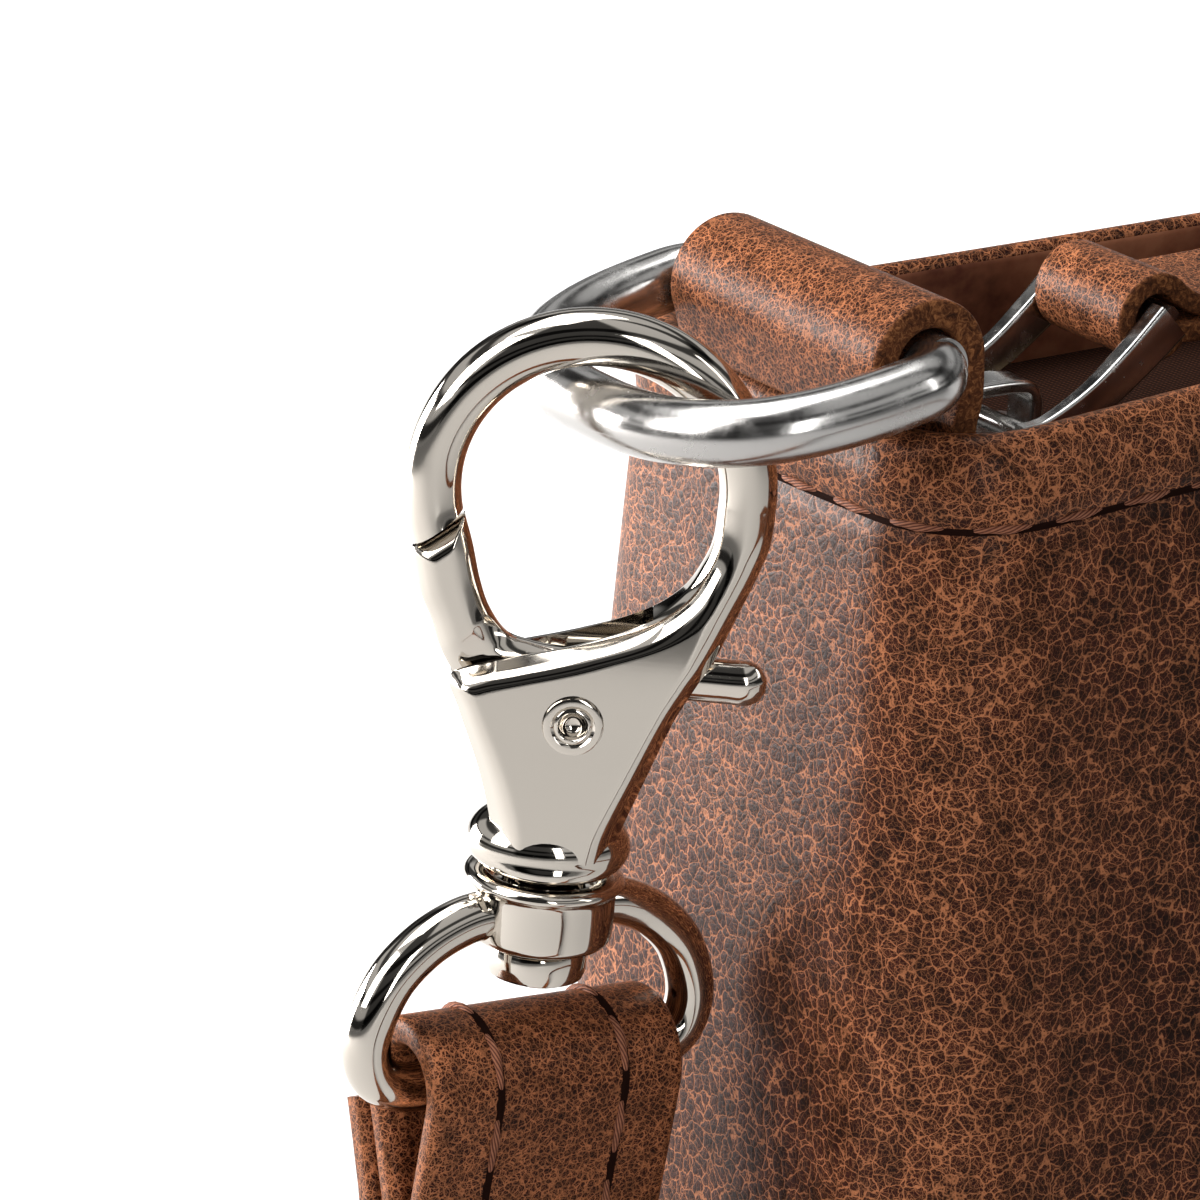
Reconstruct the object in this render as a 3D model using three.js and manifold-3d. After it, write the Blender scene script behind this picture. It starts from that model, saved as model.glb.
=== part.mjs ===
// Travel document case: a zipped leather case with a clip-on shoulder strap.
// Millimetres, +Z up, origin in the middle of the base.
// X runs along the case, Y from its front to its back.
import * as THREE from 'three';
import { mergeVertices } from 'three/addons/utils/BufferGeometryUtils.js';
import Module from 'manifold-3d';

const wasm = await Module();
wasm.setup();
const { degToRad, smoothstep, clamp, lerp } = THREE.MathUtils;

// Driving dimensions, in millimetres and degrees
const GAP = 0.3;

// Leather body, sewn from panels that meet in soft rounded corners
const WALL = 2.4;
const CORNER_RADIUS = 8.5;
const RIM_ROUND = 0.9;
const RIM_FALL = { amount: 0.4, from: 120, to: 150, front: -22, back: 22 };
// Half length and half depth at each height, how far the middle is set back,
// and how far the sides, the front and the back swell in their middle
const SECTIONS = [
  { z: 0, length: 118.4, depth: 22.4, shift: 0, side: 1.0, front: 0.0, back: 0.0 },
  { z: 1.2, length: 120.6, depth: 24.6, shift: 0, side: 1.2, front: 0.3, back: 0.3 },
  { z: 5, length: 121.8, depth: 26.0, shift: 0, side: 1.6, front: 0.8, back: 0.8 },
  { z: 14, length: 122.2, depth: 26.5, shift: 0.2, side: 2.0, front: 1.6, back: 1.6 },
  { z: 50, length: 122.0, depth: 26.4, shift: 0.7, side: 2.4, front: 2.6, back: 2.6 },
  { z: 90, length: 121.4, depth: 25.2, shift: 1.2, side: 2.2, front: 1.0, back: 1.8 },
  { z: 120, length: 120.4, depth: 24.0, shift: 1.0, side: 1.8, front: -2.0, back: 0.2 },
  { z: 142, length: 118.9, depth: 23.2, shift: 0.5, side: 1.5, front: -5.0, back: -1.5 },
  { z: 152, length: 118.2, depth: 22.5, shift: 0.2, side: 1.3, front: -7.4, back: -3.0 },
  { z: 157.7, length: 117.9, depth: 21.6, shift: 0, side: 1.2, front: -9.0, back: -4.0 },
];

// Zip, sunk below the rim
const TAPE = { top: 147.9, thickness: 1.0, innerEdge: 2.6 };
const CHAIN = { halfWidth: 2.3, bottom: 146.6, top: 148.6, ridge: 149.1, from: -96, to: 112.5 };
const SLIDER = { x: -101.5, halfLength: 5.5, halfWidth: 4.2, plate: 1.1, gap: 0.45, post: 1.6 };
const CROWN = { halfLength: 4.4, halfWidth: 1.6, height: 3.6, bar: 1.0 };
const PULLER = { x: -100.8, z: 151.9, bar: 0.75, halfWidth: 6.6, strip: 1.0, width: 2.4 };
const PULLER_END = { x: -89.3, z: 158.6 };
const PULL = { hole: 1.75, roll: 3.3, tail: 36, tailHalf: 1.5, drop: 0.6, halfWidth: 5.2 };

// Ring and its leather tab at each end of the case
const BAR = { x: -116.5, y: -3.9, z: 162.3 };
const RING = { wire: 2.25, halfWidth: 15.2, reach: 18.6, corner: 3.2, power: 2.6, droop: 9.35 };
const TAB = { thickness: 2.0, halfWidth: 12.6, foot: 158.15, inner: -113.7, end: 149.7 };

// Swivel hook, drawn upright in its own plane with the swivel at its origin
const HOOK = { x: -138.1, y: -2.2, z: 124.1, turn: -32, lean: 5.5 };
const LOOP = { x: 0.5, z: 29.7, radius: 10.55, wire: 1.95, nose: 207 };
const LIMB = [[11.0, 27.2], [10.4, 24.6], [9.4, 22.2], [8.2, 19.6]];
const BODY = { thickness: 6.0, bevel: 0.9, slot: 3.0 };
const BODY_OUTLINE = [
  [-3.9, 4.4], [-5.2, 9.8], [-6.8, 13.9], [-7.9, 16.0], [-6.2, 17.0], [-3.0, 17.9], [0.9, 19.1],
  [4.8, 20.8], [7.6, 22.9], [11.3, 22.2], [10.1, 19.3], [8.0, 15.4], [6.9, 12.7], [5.9, 9.4], [4.4, 4.4],
];
const SLOT_OUTLINE = [
  [-10, 11.2], [-2.6, 10.2], [2.0, 9.2], [14, 9.2], [14, 19.3], [5.6, 19.3], [4.6, 23], [-10, 23],
];
const COLLAR = [
  [0, -5.4], [2.9, -5.4], [3.3, -5.0], [3.3, -3.3], [3.0, -2.95], [2.2, -2.95], [2.2, 2.7],
  [4.0, 2.7], [5.2, 3.3], [5.65, 4.4], [5.4, 5.6], [4.4, 6.4], [0, 7.0],
];
const RIVET = { x: 0.8, z: 14.0, pin: 1.4, head: 2.05, headHeight: 0.45 };
const GATE = { thickness: 3.4, bevel: 0.45, lever: 2.4, hole: 1.75, reach: 15.75, tip: [122.5, 138.5] };
const GATE_ARM = [
  [-10.2, 21.5], [-9.3, 19.6], [-8.5, 17.6], [-6.6, 17.7], [-4.1, 18.7], [-5.4, 20.6], [-6.25, 22.6],
  [-7.0, 25.2],
];
const GATE_LEVER = [
  [-8.3, 18.4], [-6.6, 15.0], [-1.6, 11.4], [0.8, 10.7], [3.4, 12.0], [5.0, 15.4], [12.0, 15.4],
  [13.1, 16.0], [13.5, 16.9], [13.1, 17.8], [12.0, 18.4], [3.6, 18.4], [-1.2, 18.2], [-5.2, 19.4],
];

// Swivel eye, turned about the hook's axis so that the strap faces the front
const EYE = { turn: 32, wire: 1.7, halfWidth: 13.0, bow: 5.9, topZ: -0.8 };
const BARREL = [
  [2.55, -2.6], [4.6, -2.6], [5.0, -2.2], [5.0, 0.9], [5.5, 1.4], [5.5, 1.9], [5.1, 2.35], [2.55, 2.35],
];

// Strap and the leather loops that carry it on the two eyes
const STRAP = { width: 20, thickness: 2.2, edge: 0.5, steps: 84 };
const LOOP_END = { thickness: 2.0, radius: 4.0, frontLeg: -2.3, backLeg: 0, close: -22, end: -46 };
// Strap's upper end behind the folded loop, as [y, z] pairs below the swivel
const STRAP_TOP = [[5.85, -15.6], [4.3, -19.2], [2.9, -23.2]];
const STRAP_DROP = { y: 2.5, from: -29, to: -96 };
const FLOOR_RUN = { bend: 24, flatTo: -75, twistTo: -200, turnAt: -212 };

const SIDES = { ring: 10, wire: 10, lathe: 18, corner: 5, longSide: 9, shortSide: 3 };

// Colours
const COLOURS = { leather: 0x6b3a22, strap: 0x633520, metal: 0xd6d3cd, cloth: 0x3a2418, brass: 0x8d7a55 };

const leather = (color) => new THREE.MeshStandardMaterial({ color, roughness: 0.6, metalness: 0 });
const metal = (color, roughness) => new THREE.MeshStandardMaterial({ color, roughness, metalness: 1 });
const cloth = (color) => new THREE.MeshStandardMaterial({ color, roughness: 0.9, metalness: 0 });

function named(name, geometry, material) {
  const mesh = new THREE.Mesh(geometry, material);
  mesh.name = name;
  return mesh;
}

// Closed solid from a geometry: shared corners merged, triangles without area left out
function solidOf(geometry) {
  const bare = new THREE.BufferGeometry();
  bare.setAttribute('position', geometry.getAttribute('position').clone());
  bare.setIndex(geometry.index ? geometry.index.clone() : null);
  const merged = mergeVertices(bare, 1e-4);
  const corners = Array.from(merged.index.array);
  const triVerts = [];
  for (let i = 0; i < corners.length; i += 3) {
    const [a, b, c] = corners.slice(i, i + 3);
    if (a !== b && b !== c && c !== a) triVerts.push(a, b, c);
  }
  const vertProperties = new Float32Array(merged.getAttribute('position').array);
  return new wasm.Manifold(new wasm.Mesh({ numProp: 3, vertProperties, triVerts: new Uint32Array(triVerts) }));
}

function geometryOf(solid) {
  const mesh = solid.getMesh();
  const geometry = new THREE.BufferGeometry();
  geometry.setAttribute('position', new THREE.BufferAttribute(new Float32Array(mesh.vertProperties), 3));
  geometry.setIndex(new THREE.BufferAttribute(new Uint32Array(mesh.triVerts), 1));
  geometry.computeVertexNormals();
  return geometry;
}

function join(...geometries) {
  return geometryOf(geometries.map(solidOf).reduce((all, next) => all.add(next)));
}

function cut(geometry, ...tools) {
  return geometryOf(tools.map(solidOf).reduce((rest, tool) => rest.subtract(tool), solidOf(geometry)));
}

// Skin over a row of equal rings, each counter-clockwise about the way the row runs
function loft(rings, closed = false) {
  const count = rings[0].length;
  const points = rings.flat();
  const index = [];
  const bands = closed ? rings.length : rings.length - 1;
  for (let k = 0; k < bands; k += 1) {
    const near = k * count;
    const far = ((k + 1) % rings.length) * count;
    for (let i = 0; i < count; i += 1) {
      const j = (i + 1) % count;
      index.push(near + i, near + j, far + j, near + i, far + j, far + i);
    }
  }
  if (!closed) {
    const ends = [[rings[0], 0, -1], [rings[rings.length - 1], (rings.length - 1) * count, 1]];
    for (const [ring, start, way] of ends) {
      const middle = ring.reduce((sum, p) => sum.add(p), new THREE.Vector3()).divideScalar(count);
      const centre = points.push(middle) - 1;
      for (let i = 0; i < count; i += 1) {
        const j = (i + 1) % count;
        index.push(centre, start + (way > 0 ? i : j), start + (way > 0 ? j : i));
      }
    }
  }
  const geometry = new THREE.BufferGeometry().setFromPoints(points);
  geometry.setIndex(index);
  geometry.computeVertexNormals();
  return geometry;
}

// Round wire along a flat curve whose plane has the given normal
function wire(points, planeNormal, radius, sides, closed) {
  const last = points.length - 1;
  const rings = points.map((point, i) => {
    const before = points[i > 0 ? i - 1 : closed ? last : 0];
    const after = points[i < last ? i + 1 : closed ? 0 : last];
    const across = new THREE.Vector3().crossVectors(planeNormal, after.clone().sub(before).normalize());
    return Array.from({ length: sides }, (_, k) => {
      const angle = (2 * Math.PI * (k + 0.5)) / sides;
      const along = planeNormal.clone().multiplyScalar(radius * Math.sin(angle));
      return point.clone().addScaledVector(across, radius * Math.cos(angle)).add(along);
    });
  });
  return loft(rings, closed);
}

// Plate whose outline lies in the XZ plane, with its thickness centred on Y
function plate(shape, thickness, bevel = 0) {
  const geometry = new THREE.ExtrudeGeometry(shape, {
    depth: thickness - 2 * bevel,
    bevelEnabled: bevel > 0,
    bevelThickness: bevel,
    bevelSize: bevel,
    bevelOffset: -bevel,
    bevelSegments: 2,
    curveSegments: 6,
  });
  geometry.translate(0, 0, bevel - thickness / 2);
  return geometry.rotateX(Math.PI / 2);
}

const outlineOf = (pairs) => new THREE.Shape(pairs.map(([x, z]) => new THREE.Vector2(x, z)));

// Outline of a strip of even thickness along a line of [x, z] pairs
function stripOutline(line, thickness) {
  const last = line.length - 1;
  const side = (way) => line.map((point, i) => {
    const a = line[Math.max(i - 1, 0)];
    const b = line[Math.min(i + 1, last)];
    const run = Math.hypot(b[0] - a[0], b[1] - a[1]);
    const half = (way * thickness) / 2;
    return [point[0] - ((b[1] - a[1]) / run) * half, point[1] + ((b[0] - a[0]) / run) * half];
  });
  return outlineOf([...side(1), ...side(-1).reverse()]);
}

const arc = (x, z, radius, from, to, steps) => Array.from({ length: steps + 1 }, (_, i) => {
  const angle = degToRad(lerp(from, to, i / steps));
  return [x + radius * Math.cos(angle), z + radius * Math.sin(angle)];
});

// Solid of revolution about Z from [radius, z] pairs
function turned(profile) {
  const points = profile.map(([radius, z]) => new THREE.Vector2(radius, z));
  return new THREE.LatheGeometry(points, SIDES.lathe).rotateX(Math.PI / 2);
}

const pin = (radius, length) => new THREE.CylinderGeometry(radius, radius, length, SIDES.lathe);

function sectionAt(z) {
  const above = Math.max(1, SECTIONS.findIndex((row) => row.z >= z));
  const [low, high] = [SECTIONS[above - 1], SECTIONS[above]];
  const t = clamp((z - low.z) / (high.z - low.z), 0, 1);
  return Object.fromEntries(Object.keys(low).map((key) => [key, lerp(low[key], high[key], t)]));
}

// Plan outline of the case at a height, moved in by an inset, counter-clockwise from above
function caseRing(z, inset) {
  const { length, depth, shift, side, front, back } = sectionAt(z);
  const radius = CORNER_RADIUS - inset;
  const [straightX, straightY] = [length - CORNER_RADIUS, depth - CORNER_RADIUS];
  const ring = [];
  for (const [signX, signY, from] of [[1, 1, 0], [-1, 1, 90], [-1, -1, 180], [1, -1, 270]]) {
    const bend = arc(signX * straightX, signY * straightY, radius, from, from + 90, SIDES.corner);
    ring.push(...bend);
    const [x, y] = bend[bend.length - 1];
    const alongX = from === 0 || from === 180;
    const parts = (alongX ? SIDES.longSide : SIDES.shortSide) + 1;
    for (let i = 1; i < parts; i += 1) {
      ring.push(alongX ? [lerp(x, -x, i / parts), y] : [x, lerp(y, -y, i / parts)]);
    }
  }
  const fall = clamp((z - RIM_FALL.from) / (RIM_FALL.to - RIM_FALL.from), 0, 1) * RIM_FALL.amount;
  return ring.map(([x, y]) => {
    const swellX = side * (1 - (y / depth) ** 2) * (x / length) ** 3;
    const swellY = (y > 0 ? back : front) * (1 - (x / length) ** 2) * (y / depth);
    const backness = clamp((y - RIM_FALL.front) / (RIM_FALL.back - RIM_FALL.front), 0, 1);
    return new THREE.Vector3(x + swellX, y + swellY + shift, z - fall * backness);
  });
}

function shellGeometry() {
  const rim = SECTIONS[SECTIONS.length - 1].z;
  const rows = SECTIONS.slice(0, -1);
  const inside = rows.filter((row) => row.z > 2 * WALL).reverse();
  return loft([
    ...rows.map((row) => caseRing(row.z, 0)),
    caseRing(rim - RIM_ROUND, 0),
    caseRing(rim, RIM_ROUND),
    caseRing(rim, WALL - RIM_ROUND),
    caseRing(rim - RIM_ROUND, WALL),
    ...inside.map((row) => caseRing(row.z, WALL)),
    caseRing(WALL, 2 * WALL),
  ]);
}

// One half of the zip's cloth, from the wall to the row of teeth
function tapeGeometry(way) {
  const edge = way * TAPE.innerEdge;
  const outline = caseRing(TAPE.top + RIM_FALL.amount, WALL + GAP)
    .filter((point) => point.y * way > TAPE.innerEdge)
    .sort((a, b) => a.x - b.x)
    .map((point) => [point.x, point.y]);
  const ends = [[outline[outline.length - 1][0], edge], [outline[0][0], edge]];
  const shape = outlineOf([...outline, ...ends]);
  const geometry = new THREE.ExtrudeGeometry(shape, { depth: TAPE.thickness, bevelEnabled: false });
  return geometry.translate(0, 0, TAPE.top - TAPE.thickness);
}

function chainGeometry() {
  const { halfWidth, bottom, top, ridge, from, to } = CHAIN;
  const shape = outlineOf([
    [-halfWidth, bottom], [halfWidth, bottom], [halfWidth, top], [0.6 * halfWidth, ridge],
    [-0.6 * halfWidth, ridge], [-halfWidth, top],
  ]);
  return plate(shape, to - from).rotateZ(Math.PI / 2).translate((from + to) / 2, 0, 0);
}

// Two plates joined by a post, with the crown that carries the puller on top
function sliderGeometry() {
  const { x, halfLength, halfWidth, plate: thick, gap, post } = SLIDER;
  const tapeBottom = TAPE.top - TAPE.thickness;
  const box = (dx, dy, dz, z) => new THREE.BoxGeometry(dx, dy, dz).translate(x, 0, z);
  const lowerZ = tapeBottom - gap - thick / 2;
  const upperZ = CHAIN.ridge + gap + thick / 2;
  const upper = box(2 * halfLength, 2 * halfWidth, thick, upperZ);
  const lower = box(2 * halfLength, 2 * halfWidth, thick, lowerZ);
  const stem = new THREE.BoxGeometry(2 * post, 2 * post, upperZ - lowerZ);
  stem.translate(x - halfLength + 1.5 * post, 0, (upperZ + lowerZ) / 2);
  const foot = upperZ + thick / 4;
  const arch = stripOutline([
    [x - CROWN.halfLength, foot], [x - CROWN.halfLength, foot + 0.75 * CROWN.height],
    [x - 0.6 * CROWN.halfLength, foot + CROWN.height], [x + 0.6 * CROWN.halfLength, foot + CROWN.height],
    [x + CROWN.halfLength, foot + 0.75 * CROWN.height], [x + CROWN.halfLength, foot],
  ], CROWN.bar);
  return join(upper, lower, stem, plate(arch, 2 * CROWN.halfWidth));
}

// Bent strip frame, drawn about its pivot
function pullerGeometry() {
  const end = [PULLER_END.x - PULLER.x, PULLER_END.z - PULLER.z];
  const line = [[-1.0, 0], [1.4, 0.2], [0.45 * end[0], 0.28 * end[1]], [0.75 * end[0], 0.64 * end[1]], end];
  const armY = PULLER.halfWidth - PULLER.strip / 2;
  const arm = (way) => plate(stripOutline(line, PULLER.width), PULLER.strip).translate(0, way * armY, 0);
  const slope = Math.atan2(end[1] - line[3][1], end[0] - line[3][0]);
  const bar = new THREE.BoxGeometry(PULLER.strip, 2 * armY, PULLER.width).rotateY(-slope);
  bar.translate(end[0] - 0.2, 0, end[1] - 0.2);
  return join(arm(-1), arm(1), pin(PULLER.bar, 2 * armY), bar);
}

// Leather folded round the end of the puller's frame, with its two layers glued to one tail
function pullGeometry() {
  const [x, z] = [PULLER_END.x - PULLER.x - 0.2, PULLER_END.z - PULLER.z - 0.2];
  const open = degToRad(28);
  const low = z - PULL.drop - PULL.tailHalf;
  const high = z - PULL.drop + PULL.tailHalf;
  const shape = outlineOf([
    ...arc(x, z, PULL.roll, 28, 328, 16),
    [x + PULL.roll * Math.cos(open) + 1.2, low], [x + PULL.tail, low], [x + PULL.tail + 1, (low + high) / 2],
    [x + PULL.tail, high], [x + PULL.roll * Math.cos(open) + 1.2, high],
  ]);
  shape.holes.push(outlineOf(arc(x, z, PULL.hole, 0, 330, 11)));
  return plate(shape, 2 * PULL.halfWidth);
}

// Leather that rises from the rim, rolls over the ring's bar and goes down inside the case
function tabGeometry() {
  const radius = RING.wire + GAP + TAB.thickness / 2;
  const line = [
    [BAR.x - 0.72 * radius, TAB.foot],
    ...arc(BAR.x, BAR.z, radius, 204, -8, 12),
    [lerp(TAB.inner, BAR.x + radius, 0.62), BAR.z - 0.8 * radius],
    [TAB.inner, BAR.z - 1.7 * radius], [TAB.inner, TAB.end],
  ];
  return plate(stripOutline(line, TAB.thickness), 2 * TAB.halfWidth).translate(0, BAR.y, 0);
}

// Ring of round wire: a straight bar, two tight corners and a bow, drawn about the bar's middle
function ringGeometry() {
  const { wire: radius, halfWidth, reach, corner, power } = RING;
  const bend = (way) => arc(-corner, way * (halfWidth - corner), corner, 0, way * 90, 4);
  const bow = Array.from({ length: 23 }, (_, i) => {
    const angle = (Math.PI * (i + 1)) / 24;
    const out = Math.abs(Math.sin(angle)) ** (2 / power);
    const across = Math.sign(Math.cos(angle)) * Math.abs(Math.cos(angle)) ** (2 / power);
    return [-corner - (reach - corner) * out, halfWidth * across];
  });
  const line = [...bend(1), ...bow, ...bend(-1).reverse()];
  const points = line.map(([x, y]) => new THREE.Vector3(x, y, 0));
  return wire(points, new THREE.Vector3(0, 0, 1), radius, SIDES.ring, true);
}

function hookBodyGeometry() {
  const bend = arc(LOOP.x, LOOP.z, LOOP.radius, LOOP.nose, 0, 20);
  const points = [...bend, ...LIMB].map(([x, z]) => new THREE.Vector3(x, 0, z));
  const loop = wire(points, new THREE.Vector3(0, 1, 0), LOOP.wire, SIDES.wire, false);
  const body = plate(outlineOf(BODY_OUTLINE), BODY.thickness, BODY.bevel);
  const slot = plate(outlineOf(SLOT_OUTLINE), BODY.slot);
  const bore = pin(RIVET.pin + GAP, 2 * BODY.thickness).translate(RIVET.x, 0, RIVET.z);
  const path = arc(RIVET.x, RIVET.z, GATE.reach + GAP, 150, 112, 8);
  const gatePath = plate(outlineOf([...path, [path[8][0], 22], [path[0][0], 20]]), 3 * LOOP.wire);
  return join(cut(body, slot, bore), cut(loop, slot, gatePath), turned(COLLAR));
}

function rivetGeometry() {
  const face = BODY.thickness / 2 + GAP;
  const top = face + RIVET.headHeight;
  const profile = [
    [0, -top], [RIVET.head * 0.8, -top], [RIVET.head, -face], [RIVET.pin, -face],
    [RIVET.pin, face], [RIVET.head, face], [RIVET.head * 0.8, top], [RIVET.head * 0.5, top],
    [RIVET.head * 0.35, top - 0.3], [0, top - 0.35],
  ];
  return turned(profile).rotateX(Math.PI / 2).translate(RIVET.x, 0, RIVET.z);
}

// Lever that closes the hook: an arm up to the nose, a hub on the rivet and a thumb tab
function gateGeometry() {
  const tip = arc(RIVET.x, RIVET.z, GATE.reach, ...GATE.tip, 4);
  const arm = plate(outlineOf([...GATE_ARM, ...tip]), GATE.thickness, GATE.bevel);
  const lever = plate(outlineOf(GATE_LEVER), GATE.lever);
  const bore = pin(GATE.hole, 2 * GATE.thickness).translate(RIVET.x, 0, RIVET.z);
  return cut(join(arm, lever), bore);
}

// Barrel round the hook's stem, with the strap's wire loop soldered to its sides
function eyeGeometry() {
  const low = EYE.topZ - EYE.bow;
  const right = arc(EYE.halfWidth - EYE.bow, low, EYE.bow, 90, -90, 10);
  const left = arc(EYE.bow - EYE.halfWidth, low, EYE.bow, 270, 90, 10);
  const points = [...right, ...left].map(([x, z]) => new THREE.Vector3(x, 0, z));
  const loop = wire(points, new THREE.Vector3(0, 1, 0), EYE.wire, SIDES.wire, true);
  const hollow = pin(3.6, 8.7).rotateX(Math.PI / 2);
  hollow.translate(0, 0, -2.8);
  return join(cut(loop, hollow), turned([...BARREL, BARREL[0]]));
}

// Leather folded over the eye's lower bar, its legs drawn together below
function loopEndGeometry() {
  const { thickness, radius, frontLeg, backLeg, close, end } = LOOP_END;
  const barZ = EYE.topZ - 2 * EYE.bow;
  const line = [
    [frontLeg, end], [frontLeg, close - 6], [lerp(frontLeg, -radius, 0.35), close],
    ...arc(0, barZ, radius, 190, -10, 12),
    [lerp(backLeg, radius, 0.35), close + 3], [backLeg, close - 1.5], [backLeg, end],
  ];
  return plate(stripOutline(line, thickness), STRAP.width).rotateZ(Math.PI / 2);
}

// Strap's twist at a distance in front of the case: flat by the case, on edge in the turn
function strapTwist(y) {
  return (Math.PI / 2) * smoothstep(-y, -FLOOR_RUN.flatTo, -FLOOR_RUN.twistTo);
}

// Height of the strap's middle while its lower edge lies on the floor
function strapRest(y) {
  const twist = strapTwist(y);
  return (STRAP.width / 2) * Math.sin(twist) + (STRAP.thickness / 2) * Math.cos(twist);
}

// Strap from one eye to the other: down beside the case, along the floor and round in front of it
function strapGeometry(eye) {
  const at = (y, z) => eye.localToWorld(new THREE.Vector3(0, y, z));
  const { y: dropY, from, to } = STRAP_DROP;
  const straight = [from, lerp(from, to, 0.5), to].map((z) => at(dropY, z));
  const drop = [...STRAP_TOP.map(([y, z]) => at(y, z)), ...straight];
  const foot = drop[drop.length - 1];
  const { bend, flatTo, twistTo, turnAt } = FLOOR_RUN;
  const bendTop = strapRest(0) + bend;
  const turn = [30, 60, 90].map((angle) => {
    const turned90 = degToRad(angle);
    const lift = bendTop - bend * Math.sin(turned90);
    return new THREE.Vector3(foot.x, foot.y - bend * (1 - Math.cos(turned90)), lift);
  });
  const runY = [-45, flatTo, lerp(flatTo, twistTo, 0.33), lerp(flatTo, twistTo, 0.67), twistTo, turnAt];
  const run = runY.map((y) => new THREE.Vector3(foot.x, y, strapRest(y)));
  const round = arc(0, turnAt, -foot.x, 180, 270, 8).slice(1);
  const half = [...drop, ...turn, ...run, ...round.map(([x, y]) => new THREE.Vector3(x, y, strapRest(y)))];
  const mirrored = half.slice(0, -1).reverse().map((p) => new THREE.Vector3(-p.x, p.y, p.z));
  const curve = new THREE.CatmullRomCurve3([...half, ...mirrored], false, 'centripetal');
  curve.arcLengthDivisions = 2000;
  const halfW = STRAP.width / 2;
  const halfT = STRAP.thickness / 2;
  const cornerW = halfW - STRAP.edge;
  const cornerT = halfT - STRAP.edge;
  const section = [
    [halfW, cornerT], [cornerW, halfT], [-cornerW, halfT], [-halfW, cornerT],
    [-halfW, -cornerT], [-cornerW, -halfT], [cornerW, -halfT], [halfW, -cornerT],
  ];
  const rings = Array.from({ length: STRAP.steps + 1 }, (_, i) => {
    const u = i / STRAP.steps;
    const point = curve.getPointAt(u);
    const along = curve.getTangentAt(u);
    if (point.y < foot.y - bend) point.z = strapRest(point.y);
    const twist = strapTwist(point.y);
    const wide = new THREE.Vector3(-Math.sign(u - 0.5) * Math.cos(twist), 0, Math.sin(twist));
    wide.addScaledVector(along, -wide.dot(along)).normalize();
    const thick = new THREE.Vector3().crossVectors(along, wide);
    return section.map(([w, t]) => point.clone().addScaledVector(wide, w).addScaledVector(thick, t));
  });
  return loft(rings);
}

// Everything at one end of the case; the other end is its mirror image
function endGroup(side) {
  const group = new THREE.Group();
  const ring = named(`d_ring_${side}`, ringGeometry(), metal(COLOURS.metal, 0.25));
  ring.position.set(BAR.x, BAR.y, BAR.z);
  ring.rotation.y = -degToRad(RING.droop);
  const hang = new THREE.Group();
  hang.position.set(HOOK.x, HOOK.y, HOOK.z);
  hang.rotation.z = degToRad(HOOK.turn);
  const hook = new THREE.Group();
  hook.rotation.y = degToRad(HOOK.lean);
  const eye = new THREE.Group();
  eye.rotation.z = degToRad(EYE.turn);
  eye.add(
    named(`swivel_eye_${side}`, eyeGeometry(), metal(COLOURS.metal, 0.15)),
    named(`strap_end_${side}`, loopEndGeometry(), leather(COLOURS.strap)),
  );
  hook.add(
    named(`hook_body_${side}`, hookBodyGeometry(), metal(COLOURS.metal, 0.15)),
    named(`hook_gate_${side}`, gateGeometry(), metal(COLOURS.metal, 0.15)),
    named(`hook_rivet_${side}`, rivetGeometry(), metal(COLOURS.metal, 0.2)),
    eye,
  );
  hang.add(hook);
  group.add(named(`tab_${side}`, tabGeometry(), leather(COLOURS.leather)), ring, hang);
  group.scale.x = side === 'left' ? 1 : -1;
  return { group, eye };
}

const model = new THREE.Group();
const left = endGroup('left');
const right = endGroup('right');
model.add(left.group, right.group);
model.updateMatrixWorld(true);

const puller = named('zip_puller', pullerGeometry(), metal(COLOURS.metal, 0.2));
const pull = named('zip_pull_leather', pullGeometry(), leather(COLOURS.strap));
for (const piece of [puller, pull]) piece.position.set(PULLER.x, 0, PULLER.z);

model.add(
  named('shell', shellGeometry(), leather(COLOURS.leather)),
  named('zip_tape_front', tapeGeometry(-1), cloth(COLOURS.cloth)),
  named('zip_tape_back', tapeGeometry(1), cloth(COLOURS.cloth)),
  named('zip_chain', chainGeometry(), metal(COLOURS.brass, 0.4)),
  named('zip_slider', sliderGeometry(), metal(COLOURS.metal, 0.25)),
  puller,
  pull,
  named('strap', strapGeometry(left.eye), leather(COLOURS.strap)),
);

export default model;
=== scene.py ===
# %% [markdown]
# A zipped leather case stands on a pale floor, with a shoulder strap clipped to the rings at its ends.
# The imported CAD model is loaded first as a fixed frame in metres. It gives every size and every place,
# so each piece made below only has to be worked out in the same coordinates.

# %% Load the frame
import math
import bpy
import numpy as np
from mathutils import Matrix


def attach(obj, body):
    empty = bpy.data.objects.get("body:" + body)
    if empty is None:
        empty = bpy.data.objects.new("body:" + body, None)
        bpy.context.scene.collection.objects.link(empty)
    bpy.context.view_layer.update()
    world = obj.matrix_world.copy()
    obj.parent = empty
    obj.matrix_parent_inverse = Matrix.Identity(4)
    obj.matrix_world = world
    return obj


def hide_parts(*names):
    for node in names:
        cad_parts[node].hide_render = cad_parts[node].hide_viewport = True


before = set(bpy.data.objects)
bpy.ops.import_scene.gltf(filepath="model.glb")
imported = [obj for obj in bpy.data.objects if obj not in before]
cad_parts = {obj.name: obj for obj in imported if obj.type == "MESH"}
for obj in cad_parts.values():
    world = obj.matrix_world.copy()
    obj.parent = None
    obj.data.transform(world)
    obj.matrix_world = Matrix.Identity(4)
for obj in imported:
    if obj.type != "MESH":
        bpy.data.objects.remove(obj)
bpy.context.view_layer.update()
MM = 0.001

# %% [markdown]
# The camera stands in front of the case's left end and looks down on it a little, from close by and
# with a long lens. A long lens keeps upright edges nearly parallel, as in a catalogue picture.

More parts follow.
